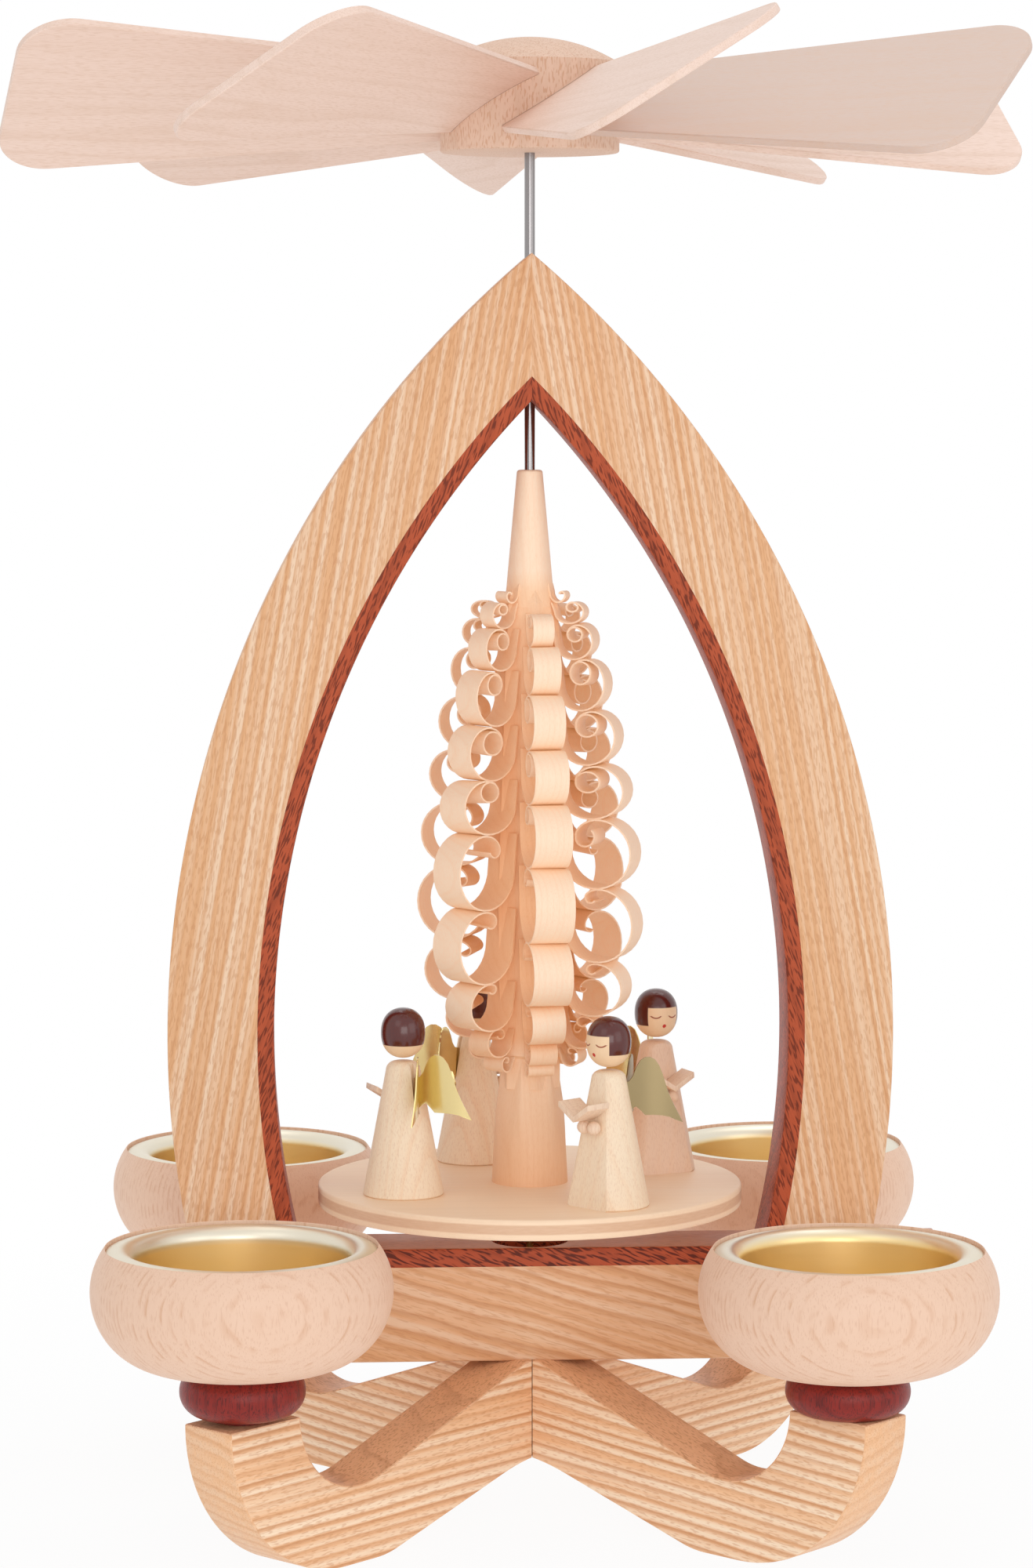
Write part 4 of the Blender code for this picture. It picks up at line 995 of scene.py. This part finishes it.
# Outline of one wing as shares of its reach and of its height, from the fold along the lower edge and back.
WING_SHARES = ((0, -0.31), (0.05, -0.32), (0.12, -0.26), (0.20, -0.22), (0.30, -0.30), (0.36, -0.36), (0.50, -0.36),
               (0.66, -0.37), (0.78, -0.39), (0.88, -0.43), (1, -0.47), (0.95, -0.38), (0.87, -0.24), (0.80, -0.10),
               (0.74, 0.04), (0.70, 0.16), (0.66, 0.28), (0.60, 0.41), (0.53, 0.50), (0.45, 0.54), (0.36, 0.54),
               (0.27, 0.49), (0.20, 0.38), (0.15, 0.26), (0.08, 0.18), (0, 0.15))


class CAROUSEL_OT_angels(bpy.types.Operator):
    """Build the four singing angels"""
    bl_idname = "carousel.angels"
    bl_label = "Angels"

    def execute(self, context):
        size, colours = settings("figures"), settings("finishes")
        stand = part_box("turntable")[1].z
        for number, degrees in enumerate(HEADINGS):
            name = f"angel_{number + 1}"
            low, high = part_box(name + "_head")
            place = Vector(((low.x + high.x) / 2, (low.y + high.y) / 2, stand))
            heading = math.radians(degrees)
            move = about_z(heading, place)
            gown_tint = colours.gown if number != 1 else SECOND_GOWN
            cloth = wood(name + "_gown_wood", gown_tint, colours.shaving_line, colours.beech_fleck, ring=0.0016,
                         shift=place, rotation=(0, -QUARTER, heading + 0.5), wave=0.4, line_amount=0.35,
                         fleck_amount=0.2, fleck_size=(0.0012, 0.00016), streak=0.35, roughness=0.5, relief=0.08)
            pale = wood(name + "_hand_wood", HAND_WOOD, colours.blade_line, colours.beech_fleck,
                        shift=place, rotation=(0, -QUARTER, heading), line_amount=0.3, fleck_amount=0.2)
            gown = finish_piece(name + "_gown", moved(self.gown(size), move), cloth, "carousel", name + "_body",
                                slot="lime_wood")
            folded = heading + math.radians(WING_TURNS[number])
            cut_away(gown, moved(block((0.0050, 0.0010, 0.0110), (-0.0047, 0, 0.0215)), about_z(folded, place)))
            half = (high.z - low.z) / 2
            middle = (high.z + low.z) / 2 - stand
            outline = [(size.head * abs(x) ** 0.9, middle + math.copysign(half * abs(z) ** 0.9, z))
                       for x, z in arc((0, 0), 1, 1, -QUARTER, QUARTER, 40)]
            outline[0], outline[-1] = (0, outline[0][1]), (0, outline[-1][1])
            painted = self.face(name, colours, place + Vector((0, 0, middle)), heading, half)
            finish_piece(name + "_head_painted", moved(spun(outline, 64), move), painted, "carousel",
                         name + "_head", slot="hair")
            book = self.book()
            bmesh.ops.translate(book, vec=(0.00655, 0, BOOK_HEIGHT), verts=book.verts)
            finish_piece(name + "_songbook", moved(book, move), pale, "carousel", name + "_book", slot="birch")
            for side, sign in (("left", 1), ("right", -1)):
                hand = bmesh.new()
                bmesh.ops.create_uvsphere(hand, u_segments=24, v_segments=16, radius=0.0013)
                bmesh.ops.translate(hand, vec=(0.0052, sign * 0.00135, BOOK_HEIGHT - 0.0014), verts=hand.verts)
                finish_piece(f"{name}_hand_{side}_ball", moved(hand, move), pale, "carousel",
                             f"{name}_hand_{side}", slot="birch")
            brass = metal(name + "_wing_brass", colours.brass if number != 0 else DULL_BRASS,
                          0.2 if number != 0 else 0.34, relief=0.01, grain=(300, 300, 1200))
            wings = self.wings(size)
            bmesh.ops.translate(wings, vec=WING_PLACE, verts=wings.verts)
            finish_piece(name + "_wings_bent", moved(wings, about_z(folded, place)), brass, "carousel",
                         name + "_wings", slot="brass")
        return {"FINISHED"}

    def gown(self, size):
        """Turned gown with rounded shoulders and a flat front."""
        height, flat, flat_top, flat_rise = 0.0258, 0.0057, 0.0026, 0.0250
        outline = [(0, 0), (size.gown - 0.0003, 0), (size.gown, 0.0003), (size.shoulder + 0.0003, height - 0.0022)]
        outline += arc((size.shoulder - 0.0017, height - 0.0017), 0.0019, 0.0017, 0.1, QUARTER, 8)
        shape = spun(outline + [(0, height)])
        lean = math.atan((flat - flat_top) / flat_rise)
        normal = Vector((math.cos(lean), 0, math.sin(lean)))
        sliced(shape, (flat, 0, 0), normal, 0.00001)
        bmesh.ops.recalc_face_normals(shape, faces=shape.faces)
        return shape

    def book(self):
        """Open songbook, two pages in a V."""
        rise, page, thick = math.radians(33), 0.0048, 0.0011
        run, lift = page * math.cos(rise), page * math.sin(rise)
        outline = [(0, 0), (run, lift), (run - 0.0001, lift + thick), (0, thick), (-run + 0.0001, lift + thick),
                   (-run, lift)]
        shape = board(outline, 0.0057, 0.00012)
        return moved(shape, Matrix.Rotation(QUARTER, 4, "Z"))

    def wings(self, size):
        """Pair of bowed brass wings on one folded sheet."""
        strips, deepest, sheet = 14, 0.0009, 0.00025
        across, back = math.sin(size.wing_spread), math.cos(size.wing_spread)
        shape = bmesh.new()
        for side in (1, -1):
            verts = [shape.verts.new((0, side * u * size.wing, z * size.wing_rise)) for u, z in WING_SHARES]
            shape.faces.new(verts if side < 0 else verts[::-1])
        bmesh.ops.remove_doubles(shape, verts=shape.verts, dist=0.000001)
        bmesh.ops.triangulate(shape, faces=shape.faces, ngon_method="EAR_CLIP")
        for share in range(1, strips):
            for side in (1, -1):
                bmesh.ops.bisect_plane(shape, geom=everything(shape), dist=0.0000001,
                                       plane_co=(0, side * share * size.wing / strips, 0), plane_no=(0, 1, 0))
        for vert in shape.verts:
            reach, side = abs(vert.co.y), 1 if vert.co.y > 0 else -1
            bow = deepest * math.sin(math.pi * min(1, reach / size.wing))
            vert.co = Vector((-reach * back - bow * across, side * (reach * across - bow * back), vert.co.z))
        bmesh.ops.recalc_face_normals(shape, faces=shape.faces)
        bmesh.ops.solidify(shape, geom=shape.faces[:], thickness=sheet)
        bmesh.ops.recalc_face_normals(shape, faces=shape.faces)
        return shape

    def face(self, name, colours, centre, heading, half):
        """Painted wooden head: glossy bobbed hair, closed eyes and a small mouth."""
        shader = Shader(name + "_head_paint")
        spot = shader.place(centre, (0, 0, heading))
        x, y, z = shader.split(spot)
        fibre = shader.noise(spot, (3000, 3000, 200), 2.0)
        crisp, eye_round, eye_line, mouth_round = 0.00006, 0.0012, 0.00012, 0.00038
        skin = shader.mix(fibre * 0.4, SKIN, SKIN_GRAIN)
        window = (x * 1.07 - abs(y)).above(0, crisp).both(z.below(half * 0.30, crisp))
        hair = z.above(half * -0.45, crisp).both(1 - window)
        front = x.above(0, 0.0002)
        marks = None
        for side in (1, -1):
            dy, dz = y - side * 0.00175, z - (0.00115 - half * 0.1)
            ring = abs((dy * dy + dz * dz).root() - eye_round).below(eye_line, 0.00005)
            lid = ring.both(dz.below(-0.00078, crisp)).both(front)
            marks = lid if marks is None else marks.either(lid)
        mouth_z = z + half * 0.45
        mouth = (y * y + mouth_z * mouth_z).root().below(mouth_round, crisp).both(front)
        colour = shader.mix(marks, skin, colours.eye)
        colour = shader.mix(mouth, colour, colours.mouth)
        streaks = shader.noise(spot, (1200, 1200, 160), 2.0)
        strands = shader.mix(streaks * 0.5, colours.hair, tuple(c * 1.6 for c in colours.hair))
        colour = shader.mix(hair, colour, strands)
        grain = shader.noise(spot, (2600, 2600, 1500), 2.0)
        return shader.finish(colour, 0.5 - hair * 0.28, bump=hair * 0.5 + (streaks + grain) * hair * 0.35,
                             strength=0.35, distance=0.0001, Coat_Weight=hair * 0.25)


# One value for each blade, in the order of its node.
PITCHES = (32.1, 33.9, 35.7, 32.2, 36.2, 34.3, 34.5, 28.8)
BLADE_TURNS = (-77.4, -32.7, 12.5, 57.4, 102.4, 145.5, 193.0, 237.9)
BLADE_ENDS = (0, -0.0017, -0.0040, -0.0008, 0, 0, 0, 0)
# Painted shade on the blades: the second blade's colour is darkened for the shade on its underside, and the third is
# made a little lighter.
BLADE_PAINTED_SHADING = (1, 0.8, 1.03, 1, 1, 1, 1, 1)


class CAROUSEL_OT_rotor(bpy.types.Operator):
    """Build the slotted hub and its eight blades"""
    bl_idname = "carousel.rotor"
    bl_label = "Rotor"

    def execute(self, context):
        size, colours = settings("figures"), settings("finishes")
        low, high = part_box("rotor_hub")
        hub_side, blade_height, fit = 0.0169, 0.0092, 0.0001
        dome = high.z - (low.z + hub_side)
        ball = (size.hub ** 2 + dome ** 2) / (2 * dome)
        reach = math.asin(size.hub / ball)
        outline = [(0, low.z)] + arc((size.hub - 0.0004, low.z + 0.0004), 0.0004, 0.0004, -QUARTER, 0, 3)
        outline += arc((0, high.z - ball), ball, ball, QUARTER - reach, QUARTER, 20)[:-1] + [(0, high.z)]
        turned = wood("hub_wood", HUB_WOOD, colours.blade_line, colours.beech_fleck, ring=0.0021,
                      rotation=(0, -QUARTER, 0.9), wave=0.5, line_amount=0.5, fleck_amount=0.6,
                      fleck_size=(0.0012, 0.0003), streak=0.7, roughness=0.6, relief=0.4)
        hub = finish_piece("rotor_hub_turned", spun(outline, 128), turned, "rotor", "rotor_hub", slot="birch")
        height = low.z + blade_height
        slots = bmesh.new()
        lean = math.atan((size.tip_width - size.root_width) / 2 / (size.blade_tip - size.blade_root))
        corner = size.blade_corner
        inset = corner * (1 - math.sin(lean)) / math.cos(lean)
        for number, (degrees, slant) in enumerate(zip(BLADE_TURNS, PITCHES)):
            end = size.blade_tip + BLADE_ENDS[number]
            half = arc((end - corner, size.tip_width / 2 - inset), corner, corner, 0, QUARTER + lean, 16)
            half += [(size.blade_root, size.root_width / 2)]
            outline = half + [(x, -y) for x, y in reversed(half)]
            angle, pitch = math.radians(degrees), math.radians(slant)
            move = (Matrix.Translation((0, 0, height)) @ Matrix.Rotation(angle, 4, "Z")
                    @ Matrix.Rotation(pitch, 4, "X"))
            slot = block((0.012, size.root_width + 2 * fit, size.blade + fit), (size.blade_root - fit + 0.006, 0, 0))
            join_shapes(slots, moved(slot, move))
            # Each blade's colour is scaled by its painted shading factor.
            look = wood(f"blade_{number + 1}_ply", tuple(c * BLADE_PAINTED_SHADING[number] for c in colours.blade),
                        colours.blade_line, ring=0.0050, shift=(0, 0, height + 0.002 * number),
                        rotation=(pitch + 1.35, 0, angle + 0.02 * math.sin(number * 2.1)), wave=0.7,
                        line_amount=0.3, fleck_amount=0.35, fleck_size=(0.0016, 0.00018), fleck_edge=0.6,
                        streak=0.35, roughness=0.5, relief=0.08, wander=(10, 90, 90))
            blade = board(outline, size.blade, 0.0002, segments=1)
            moved(blade, Matrix.Rotation(QUARTER, 4, "X"))
            finish_piece(f"rotor_blade_{number + 1}_sanded", moved(blade, move), look, "rotor",
                         f"rotor_blade_{number + 1}", slot="birch")
        cut_away(hub, slots)
        return {"FINISHED"}


class CAROUSEL_OT_stage(bpy.types.Operator):
    """Set up the floor, the studio light and the camera"""
    bl_idname = "carousel.stage"
    bl_label = "Stage"

    def execute(self, context):
        stage = settings("stage")
        scene = context.scene
        shape = bmesh.new()
        bmesh.ops.create_grid(shape, x_segments=1, y_segments=1, size=6)
        floor = placed("studio_floor", mesh_of("studio_floor", shape))
        paper = Shader("studio_paper")
        spot = paper.place()
        tone = paper.mix(paper.noise(spot, (40, 40, 40)) * 0.3, (0.93, 0.93, 0.93), (0.90, 0.90, 0.90))
        paper.finish(tone, 0.9, Specular_IOR_Level=0.1)
        x, y = paper.split(spot)[:2]
        far = (x * x + y * y).root().above(0.20, 0.09)
        glow = paper.node("ShaderNodeEmission")
        factor = (paper.seen() * (far * (1 - stage.shadow) + stage.shadow)).either(stage.table)
        gate = paper.node("ShaderNodeMixShader", None,
                          {0: factor, 1: Value(paper, paper.principled.outputs[0]), 2: glow})
        paper.plug(paper.tree.nodes["Material Output"].inputs["Surface"], gate)
        floor.data.materials.append(paper.material)

        world = bpy.data.worlds.new("studio")
        scene.world = world
        sky = Shader("sky", world)
        background = sky.tree.nodes["Background"]
        sky.plug(background.inputs["Color"], (1, 1, 1))
        sky.plug(background.inputs["Strength"], sky.seen() * (1 - stage.world) + stage.world)

        for name, place, size, power in LAMPS:
            data = bpy.data.lights.new(name, "AREA")
            data.shape = "SQUARE"
            data.size = size
            data.energy = power
            lamp = placed(name, data)
            lamp.location = place
            lamp.rotation_euler = (LAMPS_LOOK_AT - Vector(place)).to_track_quat("-Z", "Y").to_euler()

        data = bpy.data.cameras.new("camera")
        camera = placed("camera", data)
        camera.location = stage.place
        camera.rotation_euler = (stage.tilt, 0, stage.swing)
        data.sensor_width = 36
        data.lens = stage.lens
        data.shift_x = stage.shift
        data.clip_start = 0.01
        scene.camera = camera
        scene.view_settings.view_transform = "Standard"
        return {"FINISHED"}


OPERATORS = (CAROUSEL_OT_foot, CAROUSEL_OT_rail, CAROUSEL_OT_arch, CAROUSEL_OT_bowls, CAROUSEL_OT_turntable,
             CAROUSEL_OT_tree, CAROUSEL_OT_angels, CAROUSEL_OT_rotor, CAROUSEL_OT_stage)


class CAROUSEL_PT_panel(bpy.types.Panel):
    """Lists the pieces in the sidebar"""
    bl_idname = "CAROUSEL_PT_panel"
    bl_label = "Candle Carousel"
    bl_space_type = "VIEW_3D"
    bl_region_type = "UI"
    bl_category = "Carousel"

    def draw(self, context):
        for operator in OPERATORS:
            self.layout.operator(operator.bl_idname)


NAMES = ("stand", "bowls", "tree", "figures", "finishes", "stage")


def register():
    """Register the settings, operators and panel."""
    for group, name in zip(GROUPS, NAMES):
        bpy.utils.register_class(group)
        setattr(bpy.types.Scene, "carousel_" + name, PointerProperty(type=group))
    for each in OPERATORS + (CAROUSEL_PT_panel,):
        bpy.utils.register_class(each)


def unregister():
    """Take the panel, operators and settings away again."""
    for each in (CAROUSEL_PT_panel,) + OPERATORS[::-1]:
        bpy.utils.unregister_class(each)
    for group, name in zip(GROUPS, NAMES):
        delattr(bpy.types.Scene, "carousel_" + name)
        bpy.utils.unregister_class(group)


def main():
    """Build every piece in order."""
    register()
    for operator in OPERATORS:
        category, name = operator.bl_idname.split(".")
        getattr(getattr(bpy.ops, category), name)()


if __name__ == "__main__":
    main()
